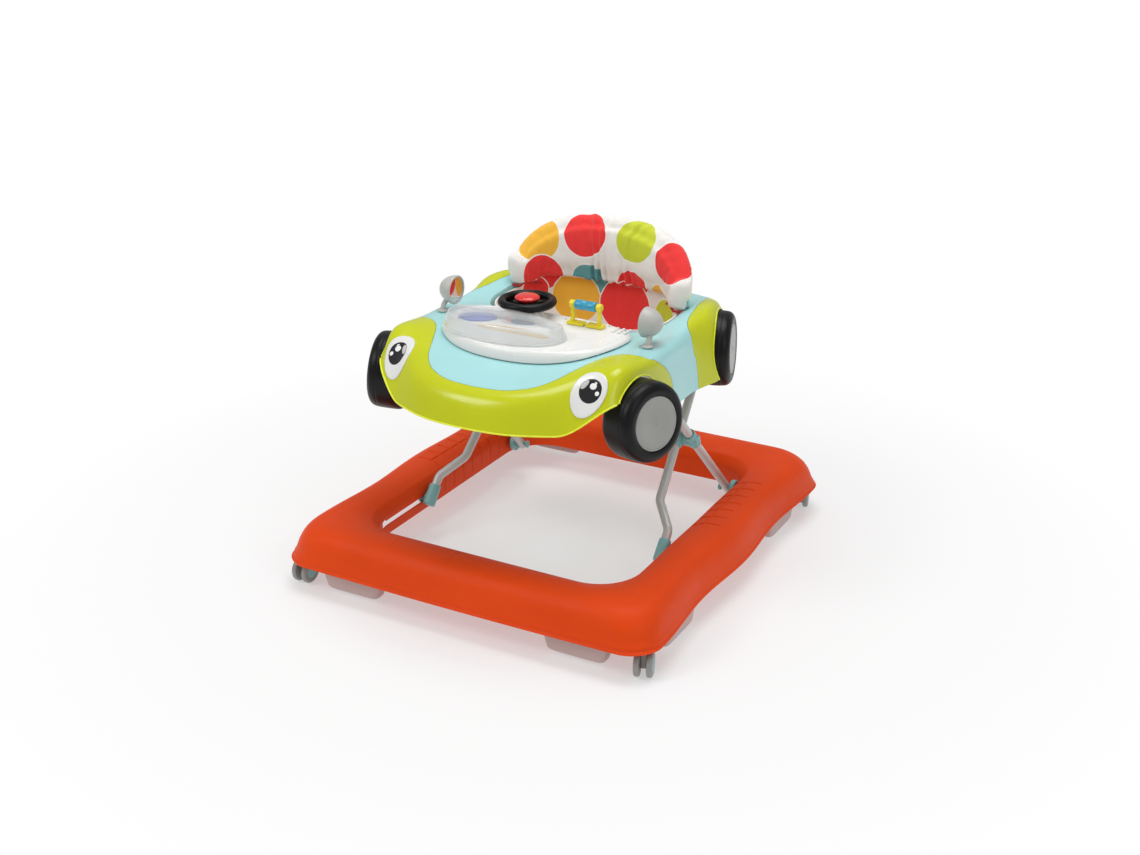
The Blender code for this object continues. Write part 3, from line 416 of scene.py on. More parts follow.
def turned(name, profile, matrix=None, steps=72, closed=False, soft=0.0, soft_steps=4):
    """A profile of (radius, height) points turned round Z; soft rounds its corners."""
    if soft:
        profile = rounded(profile, soft, soft_steps, closed)
    mesh = bpy.data.meshes.new(name)
    edges = [(i, i + 1) for i in range(len(profile) - 1)]
    if closed:
        edges.append((len(profile) - 1, 0))
    mesh.from_pydata([(r, 0, h) for r, h in profile], edges, [])
    obj = make(name, mesh, matrix)
    screw = obj.modifiers.new("turn", "SCREW")
    screw.steps = screw.render_steps = steps
    screw.use_merge_vertices = True
    screw.merge_threshold = 0.00001
    return weld(bake(obj))


def rounded(points, radius, steps, closed):
    """A profile with its inner corners rounded, each by at most the radius."""
    points = [Vector(p) for p in points]
    count = len(points)
    result = []
    for i, corner in enumerate(points):
        if not closed and i in (0, count - 1):
            result.append(corner)
            continue
        before, after = points[i - 1], points[(i + 1) % count]
        arrive, leave = before - corner, after - corner
        reach = min(radius, arrive.length * 0.45, leave.length * 0.45)
        start, end = corner + arrive.normalized() * reach, corner + leave.normalized() * reach
        for s in range(steps + 1):
            t = s / steps
            result.append(start * (1 - t) ** 2 + corner * 2 * t * (1 - t) + end * t ** 2)
    return result


def tube(name, points, radius, wall=0.0, resolution=6, cyclic=False):
    curve = bpy.data.curves.new(name, "CURVE")
    curve.dimensions = "3D"
    curve.bevel_depth = radius
    curve.bevel_resolution = resolution
    curve.use_fill_caps = wall == 0 and not cyclic
    spline = curve.splines.new("POLY")
    spline.points.add(len(points) - 1)
    for point, at in zip(spline.points, points):
        point.co = (*at, 1)
    spline.use_cyclic_u = cyclic
    obj = weld(bake(make(name, curve)))
    return thickened(obj, wall, -1) if wall else obj


def with_bends(corners, radius):
    """A path through the corners, each turned at the bend radius."""
    corners, steps = [Vector(c) for c in corners], 12
    path = [corners[0]]
    for before, corner, after in zip(corners, corners[1:], corners[2:]):
        arriving, leaving = (before - corner).normalized(), (after - corner).normalized()
        half = arriving.angle(leaving) / 2
        reach = radius / math.tan(half)
        centre = corner + (arriving + leaving).normalized() * radius / math.sin(half)
        start = (corner + arriving * reach - centre).normalized()
        end = (corner + leaving * reach - centre).normalized()
        for i in range(steps + 1):
            path.append(centre + start.slerp(end, i / steps) * radius)
    path.append(corners[-1])
    return path


def skin(rings, cyclic=True):
    bm = bmesh.new()
    rows = [[bm.verts.new(point) for point in ring] for ring in rings]
    count = len(rows[0])
    for low, high in zip(rows, rows[1:]):
        for i in range(count if cyclic else count - 1):
            bm.faces.new((low[i], low[(i + 1) % count], high[(i + 1) % count], high[i]))
    return bm, rows


def thickened(obj, wall, offset):
    solidify = obj.modifiers.new("wall", "SOLIDIFY")
    solidify.thickness = wall
    solidify.offset = offset
    return bake(obj)


def cup(name, rings, wall):
    """A thin shell over the rings, closed at the last."""
    bm, rows = skin(rings)
    bm.faces.new(rows[-1])
    return thickened(tool(name, bm), wall, -1)


def solid(name, rings):
    """A closed form through the rings."""
    bm, rows = skin(rings)
    bm.faces.new(rows[0])
    bm.faces.new(rows[-1])
    return tool(name, bm)


def spline_point(a, b, c, d, t):
    return 0.5 * ((2 * b) + (c - a) * t + (2 * a - 5 * b + 4 * c - d) * t ** 2
                  + (3 * b - a - 3 * c + d) * t ** 3)


def smooth_loop(points, steps):
    count = len(points)
    loop = []
    for i in range(count):
        a, b, c, d = (Vector(points[(i + k) % count]) for k in (-1, 0, 1, 2))
        loop += [spline_point(a, b, c, d, s / steps) for s in range(steps)]
    return loop


def smooth_line(points, steps=8):
    padded = [points[0]] + list(points) + [points[-1]]
    line = []
    for group in zip(padded, padded[1:], padded[2:], padded[3:]):
        a, b, c, d = (Vector(p) for p in group)
        line += [spline_point(a, b, c, d, s / steps) for s in range(steps)]
    return line + [Vector(points[-1])]


def mirrored_loop(half):
    return half + [(-x, y) for x, y in reversed(half[1:-1])]


def oval(half_x, half_y, power, steps, centre=(0, 0)):
    points = []
    for i in range(steps):
        angle = 2 * math.pi * i / steps
        c, s = math.cos(angle), math.sin(angle)
        points.append((centre[0] + half_x * math.copysign(abs(c) ** (2 / power), c),
                       centre[1] + half_y * math.copysign(abs(s) ** (2 / power), s)))
    return points


def drop(tree, x, y, default=0.383):
    """Height of a surface under a point."""
    found = tree.ray_cast(Vector((x, y, 0.6)), -UP)[0]
    return found.z if found else default


# ---- base ring

RING_HALF = Vector((0.3045, 0.3375))
RING_OPENING = Vector((0.2185, 0.250))
RING_SECTION = ((0.0, 0.0510), (0.030, 0.0575), (0.075, 0.0715), (0.15, 0.0850), (0.27, 0.0945),
                (0.46, 0.0975), (0.68, 0.0962), (0.86, 0.0905), (0.95, 0.0835), (1.0, 0.0740))
RING_LIP = ((-0.016, 0.0415), (-0.030, 0.0422), (-0.034, 0.0436), (-0.026, 0.0450),
            (-0.008, 0.0462), (-0.002, 0.0485))
RING_WALL = 0.0022
SLOT_Z = 0.061
CASTER_AT = Vector((0.2865, 0.296))
GROOVES_Y = (-0.0180, 0.0105, 0.0390, 0.0670, 0.0960, 0.1250, 0.1530)


def rounded_rectangle(half, radius):
    points, corner_steps, side_steps = [], 14, 30
    for quadrant, sign in enumerate(((1, 1), (-1, 1), (-1, -1), (1, -1))):
        centre = Vector(((half.x - radius) * sign[0], (half.y - radius) * sign[1]))
        arc = [centre + radius * Vector((math.cos(a), math.sin(a)))
               for a in (math.pi / 2 * (quadrant + i / corner_steps)
                         for i in range(corner_steps + 1))]
        if points:
            run = arc[0] - points[-1]
            points += [points[-1] + run * i / side_steps for i in range(1, side_steps)]
        points += arc
    last = points[-1]
    run = points[0] - last
    return points + [last + run * i / side_steps for i in range(1, side_steps)]


def ring_outer_outline():
    outline = []
    for point in rounded_rectangle(RING_HALF, 0.046):
        waist = 0.0040 * math.cos(math.pi * point.y / 0.14) * (point.x / RING_HALF.x)
        bow = 0.0040 * math.cos(math.pi * point.x / 0.60) * (point.y / RING_HALF.y)
        outline.append(point + Vector((waist, bow)))
    return outline


def ring_surface():
    outer, inner = ring_outer_outline(), rounded_rectangle(RING_OPENING, 0.070)
    crown = smooth_line(RING_SECTION, 5)
    section = list(RING_LIP) + [(p.x, p.y) for p in crown] + [(1.0, 0.068), (1.0, 0.0555),
                                                             (1.0, 0.0415)]
    rings = []
    for share, height in section:
        bead = 0.0009 * math.exp(-((share - 0.905) / 0.022) ** 2) if share < 1 else 0.0
        rings.append([(*a.lerp(b, share), height + bead) for a, b in zip(outer, inner)])
    return skin(rings)[0]


def base_ring():
    bm = ring_surface()
    tree = BVHTree.FromBMesh(bm)
    ring = thickened(tool("ring", bm), RING_WALL, -1)

    def groove(start, end, radius):
        """A cutter that lies on the surface and sinks in by three quarters, or by 1.7 mm."""
        path, lift = [], max(radius * 0.25, radius - 0.0017)
        for i in range(41):
            at = Vector(start).lerp(Vector(end), i / 40)
            path.append(Vector((*at, drop(tree, *at, 0.09) + lift)))
        return tube("groove", path, radius, resolution=2)

    for _, side in SIDES:
        for y in GROOVES_Y:
            line = groove((0.2205 * side, y), ((0.2715 - 0.01 * abs(y)) * side, y + 0.004), 0.0027)
            wall = tube("groove", [(0.2185 * side, y, z) for z in (0.0500, 0.060, 0.0760)],
                        0.0010, resolution=2)
            ring = cut(ring, line, wall)
        ring = cut(ring, groove((0.2470 * side, GROOVES_Y[0]), (0.2440 * side, GROOVES_Y[-1]),
                                0.0022))
        wall_x = RING_OPENING.x * side
        slot = box("slot", (wall_x - 0.01, -0.1985, SLOT_Z - 0.0045),
                   (wall_x + 0.01, -0.0715, SLOT_Z + 0.0045))
        entry = box("entry", (wall_x - 0.01, -0.2030, SLOT_Z - 0.0045),
                    (wall_x + 0.01, -0.1880, SLOT_Z + 0.0080))
        ring = cut(ring, slot, entry)
    for x in (-0.130, -0.030, 0.087):
        ring = cut(ring, groove((x, -0.262), (x + 0.004, -0.310), 0.0005))
    for _, end, _, side in CORNERS:
        x, y = CASTER_AT.x * side, CASTER_AT.y * end
        boss = rod("boss", (x, y, 0.0405), (x, y, 0.0752), 0.0085)
        ring = join(ring, cut(boss, rod("bore", (x, y, 0.030), (x, y, 0.0710), 0.0044)))
    piece("base_ring_skin", ring, "ring", "base_ring", sharp=42)


def brake_pads():
    """Eight open blocks under the rim, two by each corner."""
    section = ((0.053, 0.0145, 0.0385), (0.0465, 0.0127, 0.0140), (0.0460, 0.0124, 0.0118),
               (0.0445, 0.0113, 0.0095), (0.0420, 0.0098, 0.0080))
    rings = [[(x, y, z) for x, y in oval(half_x, half_y, 6, 56)] for half_x, half_y, z in section]
    for end_name, end, side_name, side in CORNERS:
        for label, x, y, turn in ((f"{end_name}_{side_name}", 0.190 * side, 0.312 * end, 0),
                                  (f"{side_name}_{end_name}", 0.282 * side, 0.196 * end,
                                   math.pi / 2)):
            pad = join(cup("pad", rings, 0.0032),
                       box("rib", (-0.022, -0.0020, 0.009), (0.022, 0.0020, 0.0760)))
            pad.matrix_world = Matrix.Translation((x, y, 0)) @ Matrix.Rotation(turn, 4, "Z")
            piece(f"pad_{label}_skin", pad, "pad", "brake_pad_" + label, bevel=0.0005)


def casters():
    """Twin casters: a fork with its stem and axle, and two wheels with teal caps."""
    turned_by = {("front", "left"): 18, ("rear", "left"): 15}
    web_width, width, radius, play = 0.0085, 0.0085, 0.019, 0.0006
    tread = ((0, width - 0.0006), (0.0118, width - 0.0006), (0.0122, width), (0.0168, width),
             (radius, width - 0.0022), (radius, 0.0018), (0.0175, 0), (0.0030, 0),
             (0.0030, width - 0.0016), (0, width - 0.0016))
    cap = ((0, width - 0.0001), (0.0022, width - 0.0001), (0.0026, width - 0.0003),
           (0.0034, width + 0.0001), (0.0108, width + 0.0001), (0.0116, width - 0.0005),
           (0, width - 0.0005))
    for end_name, end, side_name, side in CORNERS:
        label = f"{end_name}_{side_name}"
        turn = math.radians(turned_by.get((end_name, side_name), 0))
        place = (Matrix.Translation((CASTER_AT.x * side, CASTER_AT.y * end, 0))
                 @ Matrix.Rotation(turn, 4, "Z"))
        hub = Vector((0, 0.013 * end, radius))
        web = plate("web", oval(0.0105, 0.0148, 3, 56, (hub.y * 0.55, 0.0245)), web_width, SIDE_ON)
        fork = join(web, rod("collar", (0, 0, 0.0384), (0, 0, 0.0398), 0.0085),
                    rod("stem", (0, 0, 0.036), (0, 0, 0.0690), 0.0040),
                    rod("axle", (-0.0118, hub.y, hub.z), (0.0118, hub.y, hub.z), 0.0025))
        fork.matrix_world = place
        piece(f"fork_{label}_skin", fork, "caster_grey", "caster_fork_" + label, bevel=0.0005)
        for wheel_name, way in (("outer", side), ("inner", -side)):
            start = web_width / 2 + play
            at = place @ facing(hub + Vector((way * start, 0, 0)), Vector((way, 0, 0)))
            wheel = turned("wheel", tread, soft=0.0007)
            wheel.matrix_world = at
            node = f"caster_wheel_{label}_{wheel_name}"
            piece(f"wheel_{label}_{wheel_name}_skin", wheel, "caster_grey", node)
            piece(f"cap_{label}_{wheel_name}", turned("disc", cap, at, soft=0.0004), "joint_teal",
                  body=NODE_BODY[node])


# ---- folding frames

REAR_PIVOT = Vector((0.196, 0.192, SLOT_Z))
CROSSING = Vector((0.0, 0.055, 0.198))
FRONT_FOOT = Vector((0.2065, -0.082, SLOT_Z))
FRONT_ANKLE = FRONT_FOOT + Vector((-0.001, 0.027, 0.032))
FRONT_BAR = CROSSING + Vector((0, 0.115, 0.115))
REAR_BAR = CROSSING + Vector((0, -0.115, 0.115))
FRONT_RUN = (Vector((0.1745, -0.022, 0.121)), FRONT_BAR + Vector((0.158, 0, 0)))
REAR_RUN = (REAR_PIVOT + Vector((0.0003, 0.0065, -0.0065)), REAR_BAR + Vector((0.186, 0, 0)))
TUBE = 0.007
TUBE_WALL = 0.0013
PIN = 0.003


def on_run(start, end, y):
    return start.lerp(end, (y - start.y) / (end.y - start.y)), (end - start).normalized()


def across(label, at, side, start, end, radius):
    """A rod along X between two distances from the middle plane, level with a point."""
    return rod(label, (start * side, at.y, at.z), (end * side, at.y, at.z), radius)


def leg_tubes():
    toe, knee = REAR_RUN
    rear = tube("rear", with_bends([mirrored(toe, -1), mirrored(knee, -1), knee, toe], 0.032),
                TUBE, TUBE_WALL)
    piece("rear_leg_tube", rear, "tube", "rear_leg_frame")
    half = [FRONT_FOOT, FRONT_ANKLE, *FRONT_RUN]
    front = tube("front", with_bends([mirrored(p, -1) for p in half] + half[::-1], 0.020),
                 TUBE, TUBE_WALL)
    piece("front_leg_tube", front, "tube", "front_leg_frame")


def leg_ends(name, side):
    """The pivot clip at the back and the sliding shoe at the front."""
    at, out = REAR_PIVOT, Vector((side, 0, 0))
    clip = turned("disc", ((0, 0.0060), (0.0050, 0.0060), (0.0062, 0.0072), (0.0138, 0.0078),
                           (0.0150, 0.0064), (0.0150, 0.0), (0, 0.0)),
                  facing(Vector((0.2040 * side, at.y, at.z)), out), soft=0.0008)
    clip = join(clip, across("pin", at, side, 0.1850, 0.2100, PIN),
                across("head", at, side, 0.1825, 0.1856, 0.0062))
    piece(f"rear_clip_{name}_skin", clip, "joint_teal", "rear_pivot_clip_" + name, bevel=0.0003)

    foot = mirrored(FRONT_FOOT, side)
    along = mirrored((FRONT_ANKLE - FRONT_FOOT).normalized(), side)
    shoe = turned("shoe", ((0, -0.0090), (0.0092, -0.0090), (0.0105, -0.0078), (0.0102, 0.0040),
                           (0.0092, 0.0245), (0.0086, 0.0260), (0.0076, 0.0260),
                           (0.0076, -0.0012), (0, -0.0012)), facing(foot, along), soft=0.0008)
    shoe = join(shoe, rod("pin", foot + out * 0.0086, foot + out * 0.0160, 0.0038),
                rod("head", foot + out * 0.0150, foot + out * 0.0180, 0.0068))
    piece(f"foot_{name}_skin", shoe, "joint_teal", "front_foot_" + name, bevel=0.0003)


def cross_hubs(name, side):
    """The two half hubs, each a sleeve on its tube and a boss, on one pin."""
    inner, up_front = on_run(*(mirrored(p, side) for p in FRONT_RUN), CROSSING.y)
    outer, up_rear = on_run(*(mirrored(p, side) for p in REAR_RUN), CROSSING.y)
    out, bore_radius, boss_radius = Vector((side, 0, 0)), 0.0076, 0.0125

    def sleeve(centre, direction):
        profile = ((bore_radius, -0.0170), (0.0090, -0.0170), (0.0099, -0.0155),
                   (0.0099, 0.0155), (0.0090, 0.0170), (bore_radius, 0.0170))
        return turned("sleeve", profile, facing(centre, direction), closed=True, soft=0.0006)

    def bore(centre, direction):
        return rod("bore", centre - direction * 0.03, centre + direction * 0.03, bore_radius)

    def along_x(label, start, end, radius):
        return across(label, CROSSING, side, start, end, radius)

    half_hub = join(sleeve(inner, up_front),
                    cut(along_x("boss", 0.1700, 0.1790, boss_radius), bore(inner, up_front)))
    half_hub = cut(half_hub, along_x("hole", 0.150, 0.185, PIN + 0.0004))
    piece(f"hub_inner_{name}_skin", half_hub, "joint_teal", "cross_hub_inner_" + name,
          bevel=0.0004)
    dome_cap = turned("dome", ((0, 0.0128), (0.0048, 0.0124), (0.0076, 0.0108), (0.0080, 0.0020),
                               (0.0080, 0.0), (0, 0.0)),
                      facing(Vector((0.1902 * side, CROSSING.y, CROSSING.z)), out), soft=0.0012)
    half_hub = join(sleeve(outer, up_rear),
                    cut(join(along_x("boss", 0.1797, 0.1915, boss_radius), dome_cap),
                        bore(outer, up_rear)))
    half_hub = join(half_hub, along_x("pin", 0.1552, 0.2007, PIN),
                    along_x("head", 0.1540, 0.1570, 0.0058))
    piece(f"hub_outer_{name}_skin", half_hub, "joint_teal", "cross_hub_outer_" + name,
          bevel=0.0004)


def folding_frames():
    leg_tubes()
    for name, side in SIDES:
        leg_ends(name, side)
        cross_hubs(name, side)


# ---- tray body

CAR_HALF = [(0, -0.302), (0.062, -0.296), (0.110, -0.278), (0.152, -0.2540), (0.183, -0.230),
            (0.201, -0.198), (0.207, -0.130), (0.209, -0.060), (0.208, 0.010), (0.216, 0.052),
            (0.2215, 0.076), (0.216, 0.120), (0.204, 0.168), (0.174, 0.212), (0.105, 0.232),
            (0, 0.238)]
OPENING_HALF = [(0, -0.022), (0.052, -0.022), (0.098, -0.018), (0.128, -0.005), (0.143, 0.016),
                (0.149, 0.038), (0.1505, 0.058), (0.1505, 0.072), (0.150, 0.086),
                (0.1465, 0.102), (0.1385, 0.119), (0.126, 0.132), (0.109, 0.1425),
                (0.085, 0.151), (0.045, 0.1565), (0, 0.158)]
WALL_STEPS = [(i / 14) ** 1.5 for i in range(15)]
CAR_DECK = [(0.10, 0), (0.20, 0), (0.30, 0), (0.40, 0), (0.50, 0), (0.60, 0), (0.70, 0),
            (0.80, 0), (0.88, 0), (0.93, 0.0001), (0.965, 0.0006), (0.985, 0.0014),
            (0.996, 0.0027), (1.0, 0.0045), (1.0, 0.0100), (1.0, 0.0160)]
DECK = 0.383
BODY_WALL = 0.0024
SEAM = 0.0008
CAR_STEPS = 8
BUMPER_LINE = [(0, -0.268), (0.045, -0.264), (0.080, -0.249), (0.103, -0.225), (0.119, -0.192),
               (0.131, -0.165), (0.143, -0.143), (0.158, -0.128), (0.177, -0.120),
               (0.196, -0.112), (0.209, -0.093), (0.300, -0.070)]
BUMPER_SIDE = [(-0.053, 0.200), (-0.053, 0.300), (-0.0545, 0.320), (-0.0600, 0.338),
               (-0.0720, 0.355), (-0.0890, 0.3690), (-0.1060, 0.3800), (-0.1150, 0.3900),
               (-0.1185, 0.4200)]
FENDER_LINE = [(0.300, 0.026), (0.214, 0.030), (0.202, 0.025), (0.190, 0.031), (0.1790, 0.054),
               (0.1720, 0.088), (0.1660, 0.125), (0.1600, 0.165), (0.153, 0.205), (0.150, 0.300)]
TOY_RADIUS = 0.0585
ARCH_RADIUS = TOY_RADIUS + 0.0030
MIRROR_AT = Vector((0.1745, -0.075))
TOY_WIDTHS = {"front": 0.050, "rear": 0.040}
TOY_WHEELS = {
    "front": (Vector((0.236, -0.171, 0.313)), Vector((0.94, -0.34, 0.087)).normalized()),
    "rear": (Vector((0.219, 0.136, 0.325)), Vector((0.961, 0.276, 0.03)).normalized()),
}


def bell(x, y, centre, reach):
    away = (abs(x) - centre[0]) ** 2 + (y - centre[1]) ** 2
    return math.exp(-away / (2 * reach ** 2))


def deck_height(x, y):
    """Height of the car's upper surface: a flat deck, a falling hood and four wheel bulges."""
    fall = -0.185 - y
    height = DECK - 0.29 * 0.5 * (fall + math.sqrt(fall * fall + 0.00004))
    height += 0.0185 * bell(x, y, (0.170, -0.186), 0.028)
    height += 0.018 * math.exp(-(abs(x) - 0.188) ** 2 / (2 * 0.022 ** 2)
                               - (y - 0.125) ** 2 / (2 * 0.055 ** 2))
    return height


def ramp(value):
    value = min(1.0, max(0.0, value))
    return value * value * (3 - 2 * value)


def rim_height(x, y):
    corner = ramp((abs(x) - 0.130) / 0.082) * ramp((-0.14 - y) / 0.05)
    return 0.292 + 0.016 * ramp((-0.10 - y) / 0.14) + 0.046 * corner


def car_rings():
    outer = smooth_loop(mirrored_loop(CAR_HALF), CAR_STEPS)
    inner = smooth_loop(mirrored_loop(OPENING_HALF), CAR_STEPS)
    rings = [[] for _ in range(len(WALL_STEPS) + len(CAR_DECK))]
    for a, b in zip(outer, inner):
        inward = (b - a).normalized()
        brow = bell(*a, (0.160, -0.245), 0.030)
        reach, curve = 0.030 + 0.032 * brow, 2.6 - 1.4 * brow
        shoulder = a + inward * reach
        rim, top = rim_height(*a), deck_height(*shoulder)
        for ring, step in zip(rings, WALL_STEPS):
            at = a + inward * reach * step
            ring.append(Vector((*at, rim + (1 - (1 - step) ** curve) * (top - rim))))
        for ring, (share, fall) in zip(rings[len(WALL_STEPS):], CAR_DECK):
            at = shoulder.lerp(b, share)
            ring.append(Vector((*at, deck_height(*at) - fall)))
    return rings


def relaxed(rings, rounds):
    """Even out the kinks between the wall, the shoulder and the bulges; rims stay put."""
    count = len(rings[0])
    for _ in range(rounds):
        fresh = [ring[:] for ring in rings]
        for row in range(1, len(rings) - 5):
            for i in range(count):
                around = (rings[row - 1][i] + rings[row + 1][i] + rings[row][i - 1]
                          + rings[row][(i + 1) % count]) / 4
                fresh[row][i] = rings[row][i].lerp(around, 0.6)
        rings = fresh
    return rings


CAR_BM = skin(relaxed(car_rings(), 26))[0]
CAR_TREE = BVHTree.FromBMesh(CAR_BM)


def car_shell():
    return thickened(tool("car", CAR_BM.copy()), BODY_WALL, -1)


def offset_line(line, distance):
    shifted = []
    for i, point in enumerate(line):
        run = (line[min(i + 1, len(line) - 1)] - line[max(i - 1, 0)]).normalized()
        shifted.append(point + Vector((-run.y, run.x)) * distance)
    return shifted


def bumper_prism(gap=0.0):
    """The lime front: a plan region, and beside each wheel a region curved in side view."""
    left = offset_line(smooth_line(BUMPER_LINE), gap)
    line = [Vector((-point.x, point.y)) for point in reversed(left[1:])] + left
    outline = [*line, (0.300, -0.400), (-0.300, -0.400)]
    region = plate("bumper_prism", outline, 0.6, Matrix.Translation((0, 0, 0.3)))
    side_line = smooth_line(BUMPER_SIDE)
    outline = [(-0.400, 0.200), *((p.x + gap, p.y + gap * 0.5) for p in side_line),
               (-0.400, side_line[-1].y)]
    for _, side in SIDES:
        place = Matrix.Translation((0.250 * side, 0, 0)) @ SIDE_ON
        region = join(region, plate("side_prism", outline, 0.108, place))
    return region


def fender_prism(side, gap=0.0):
    outline = [*offset_line(smooth_line(FENDER_LINE), gap), Vector((0.300, 0.300))]
    outline = [(point.x * side, point.y) for point in outline]
    return plate("fender_prism", outline, 0.6, Matrix.Translation((0, 0, 0.3)))


def wheel_placement(end_name, side):
    centre, axle = TOY_WHEELS[end_name]
    return mirrored(centre, side), mirrored(axle, side)


def wheel_arch(end_name, side):
    centre, axle = wheel_placement(end_name, side)
    return rod("arch", centre - axle * (TOY_WIDTHS[end_name] + 0.001), centre + axle * 0.03,
               ARCH_RADIUS, sides=96)


def wheel_bracket(end_name, side):
    centre, axle = wheel_placement(end_name, side)
    middle = centre - axle * (TOY_WIDTHS[end_name] + 0.0035)
    place = facing(middle, axle)
    half = 0.011
    top = min(drop(CAR_TREE, *(place @ Vector((x, 0.06, 0))).xy)
              for x in (-half, 0, half)) - 0.0012 - middle.z
    bracket = plate("bracket", [(-half, -0.013), (half, -0.013), (half, top), (-half, top)],
                    0.003, place)
    return cut(bracket, rod("hole", middle - axle * 0.01, middle + axle * 0.01, 0.0046))


def bodywork():
    """The aqua deck, the lime bumper and the two lime fenders, with a fine seam between them."""
    deck = cut(car_shell(), bumper_prism(SEAM), fender_prism(1, SEAM), fender_prism(-1, SEAM))
    for _, side in SIDES:
        deck = cut(deck, wheel_arch("front", side), wheel_arch("rear", side))
        x, y = MIRROR_AT.x * side, MIRROR_AT.y
        socket = Vector((x, y, drop(CAR_TREE, x, y)))
        ring = [(0.0118 + 0.0012 * math.cos(a), 0.0012 * math.sin(a))
                for a in (-2 * math.pi * i / 10 for i in range(10))]
        deck = cut(deck, turned("socket", ring, Matrix.Translation(socket), closed=True))
    piece("body_shell", deck, "aqua", "tray_shell", sharp=32)

    bumper = overlap(car_shell(), bumper_prism())
    for _, side in SIDES:
        bumper = join(cut(bumper, wheel_arch("front", side)), wheel_bracket("front", side))
    piece("body_bumper", bumper, "lime", "front_bumper", sharp=32)

    for name, side in SIDES:
        fender = overlap(car_shell(), fender_prism(side))
        fender = join(cut(fender, wheel_arch("rear", side)), wheel_bracket("rear", side))
        piece("body_fender_" + name, fender, "lime", "rear_fender_" + name, sharp=32)
    lips()


def within(outline, x, y):
    """Whether a plan point is inside a closed outline."""
    inside = False
    for (ax, ay), (bx, by) in zip(outline, outline[1:] + outline[:1]):
        if (ay > y) != (by > y) and x < ax + (y - ay) * (bx - ax) / (by - ay):
            inside = not inside
    return inside


def lime_at(point):
    """Whether a point of the body is in one of the lime parts."""
    x, y = abs(point.x), point.y
    front = [*((p.x, p.y) for p in smooth_line(BUMPER_LINE)), (0.300, -0.400), (0, -0.400)]
    rear = [*((p.x, p.y) for p in smooth_line(FENDER_LINE)), (0.300, 0.300)]
    curve = [*((p.x, p.y) for p in smooth_line(BUMPER_SIDE)), (-0.4, 0.42), (-0.4, 0.2)]
    return (within(front, x, y) or within(rear, x, y)
            or (x > 0.196 and within(curve, y, point.z)))


def lips():
    """Rounded beads along the free edges: the bottom rim and the four wheel arches. On the lime
    parts the beads are a lighter lime, a painted highlight along the edge.
    """
    arches = []
    for end_name, _, _, side in CORNERS:
        centre, axle = wheel_placement(end_name, side)
        arches.append((facing(centre, axle), axle))

    def clear(point):
        return all((place.inverted() @ point).xy.length > ARCH_RADIUS for place, _ in arches)

    CAR_BM.verts.ensure_lookup_table()
    count = len(smooth_loop(mirrored_loop(CAR_HALF), CAR_STEPS))
    runs = [[(CAR_BM.verts[i % count].co.copy(), clear(CAR_BM.verts[i % count].co))
             for i in range(count + 1)]]
    for place, axle in arches:
        run = []
        for i in range(181):
            angle = math.pi * (2 * i / 180 - 0.5)
            start = place @ Vector((ARCH_RADIUS * math.cos(angle),
                                    ARCH_RADIUS * math.sin(angle), 0.06))
            at = CAR_TREE.ray_cast(start, -axle, 0.12)[0]
            run.append((at or start, at is not None))
        runs.append(run)
    number = 0
    for run in runs:
        path, colour = [], None
        for point, shown in run + [(None, False)]:
            # Beads on lime parts take the lighter lime, a painted highlight along the edge.
            now = ("lime_lip_painted_highlight" if lime_at(point) else "aqua") if shown else None
            if now != colour or (path and (path[-1] - point).length > 0.02):
                if len(path) > 3:
                    piece(f"body_lip_{number}", tube("lip", path, 0.0013, resolution=3), colour,
                          body="tray")
                    number += 1
                path = path[-1:] if now and colour else []
            if now:
                path.append(point)
            colour = now


def eyes():
    """Oval inlays that follow the bumper, each with a dark pupil, printed white glints and a pale
    grey patch at its upper inner edge.
    """
    for name, side in SIDES:
        normal = mirrored(Vector((0.28, -0.75, 0.60)).normalized(), side)
        place = facing(mirrored(Vector((0.157, -0.223, 0.359)), side), normal)

        def inlay(label, centre, half, turn, low, high, material, node=None, egg=0.0):
            c, s = math.cos(turn * side), math.sin(turn * side)
            shares = (1.0, 1.0, 0.985, 0.955, 0.90, 0.8, 0.65, 0.5, 0.35, 0.2, 0.05)
            heights = [low, high * 0.45, high * 0.8, high * 0.95] + [high] * 7
            rings = []
            for share, height in zip(shares, heights):
                ring = []
                for x, y in oval(half[0], half[1], 2.05, 72):
                    x *= 1 + egg * y / half[1]
                    px = centre[0] * side + (x * c - y * s) * share
                    py = centre[1] + (x * s + y * c) * share
                    at = CAR_TREE.ray_cast(place @ Vector((px, py, 0.05)), -normal)[0]
                    ring.append((at or place @ Vector((px, py, 0))) + normal * height)
                rings.append(ring)
            piece(f"{label}_{name}", solid(label, rings), material, node=node, body="tray",
                  sharp=60)

        inlay("eye_disc", (0, 0.0008), (0.0236, 0.0356), -0.34, 0.0003, 0.0022, "eye_white",
              "eye_" + name, egg=0.10)
        inlay("pupil", (0.0026, 0.0052), (0.0160, 0.0188), -0.25, 0.0018, 0.0026, "pupil")
        inlay("glint_large", (0.0062, 0.0118), (0.0050, 0.0050), 0, 0.0024, 0.0030, "glint")
        inlay("glint_small", (0.0122, 0.0010), (0.0031, 0.0034), 0, 0.0024, 0.0030, "glint")
        inlay("glint_tail", (0.0098, 0.0168), (0.0024, 0.0010), -0.8, 0.0024, 0.0030, "glint")
        # A pale grey patch at the eye's upper inner edge.
        inlay("glint_soft", (-0.0058, 0.0142), (0.0085, 0.0036), 0.95, 0.0024, 0.0029,
              "glint_grey")


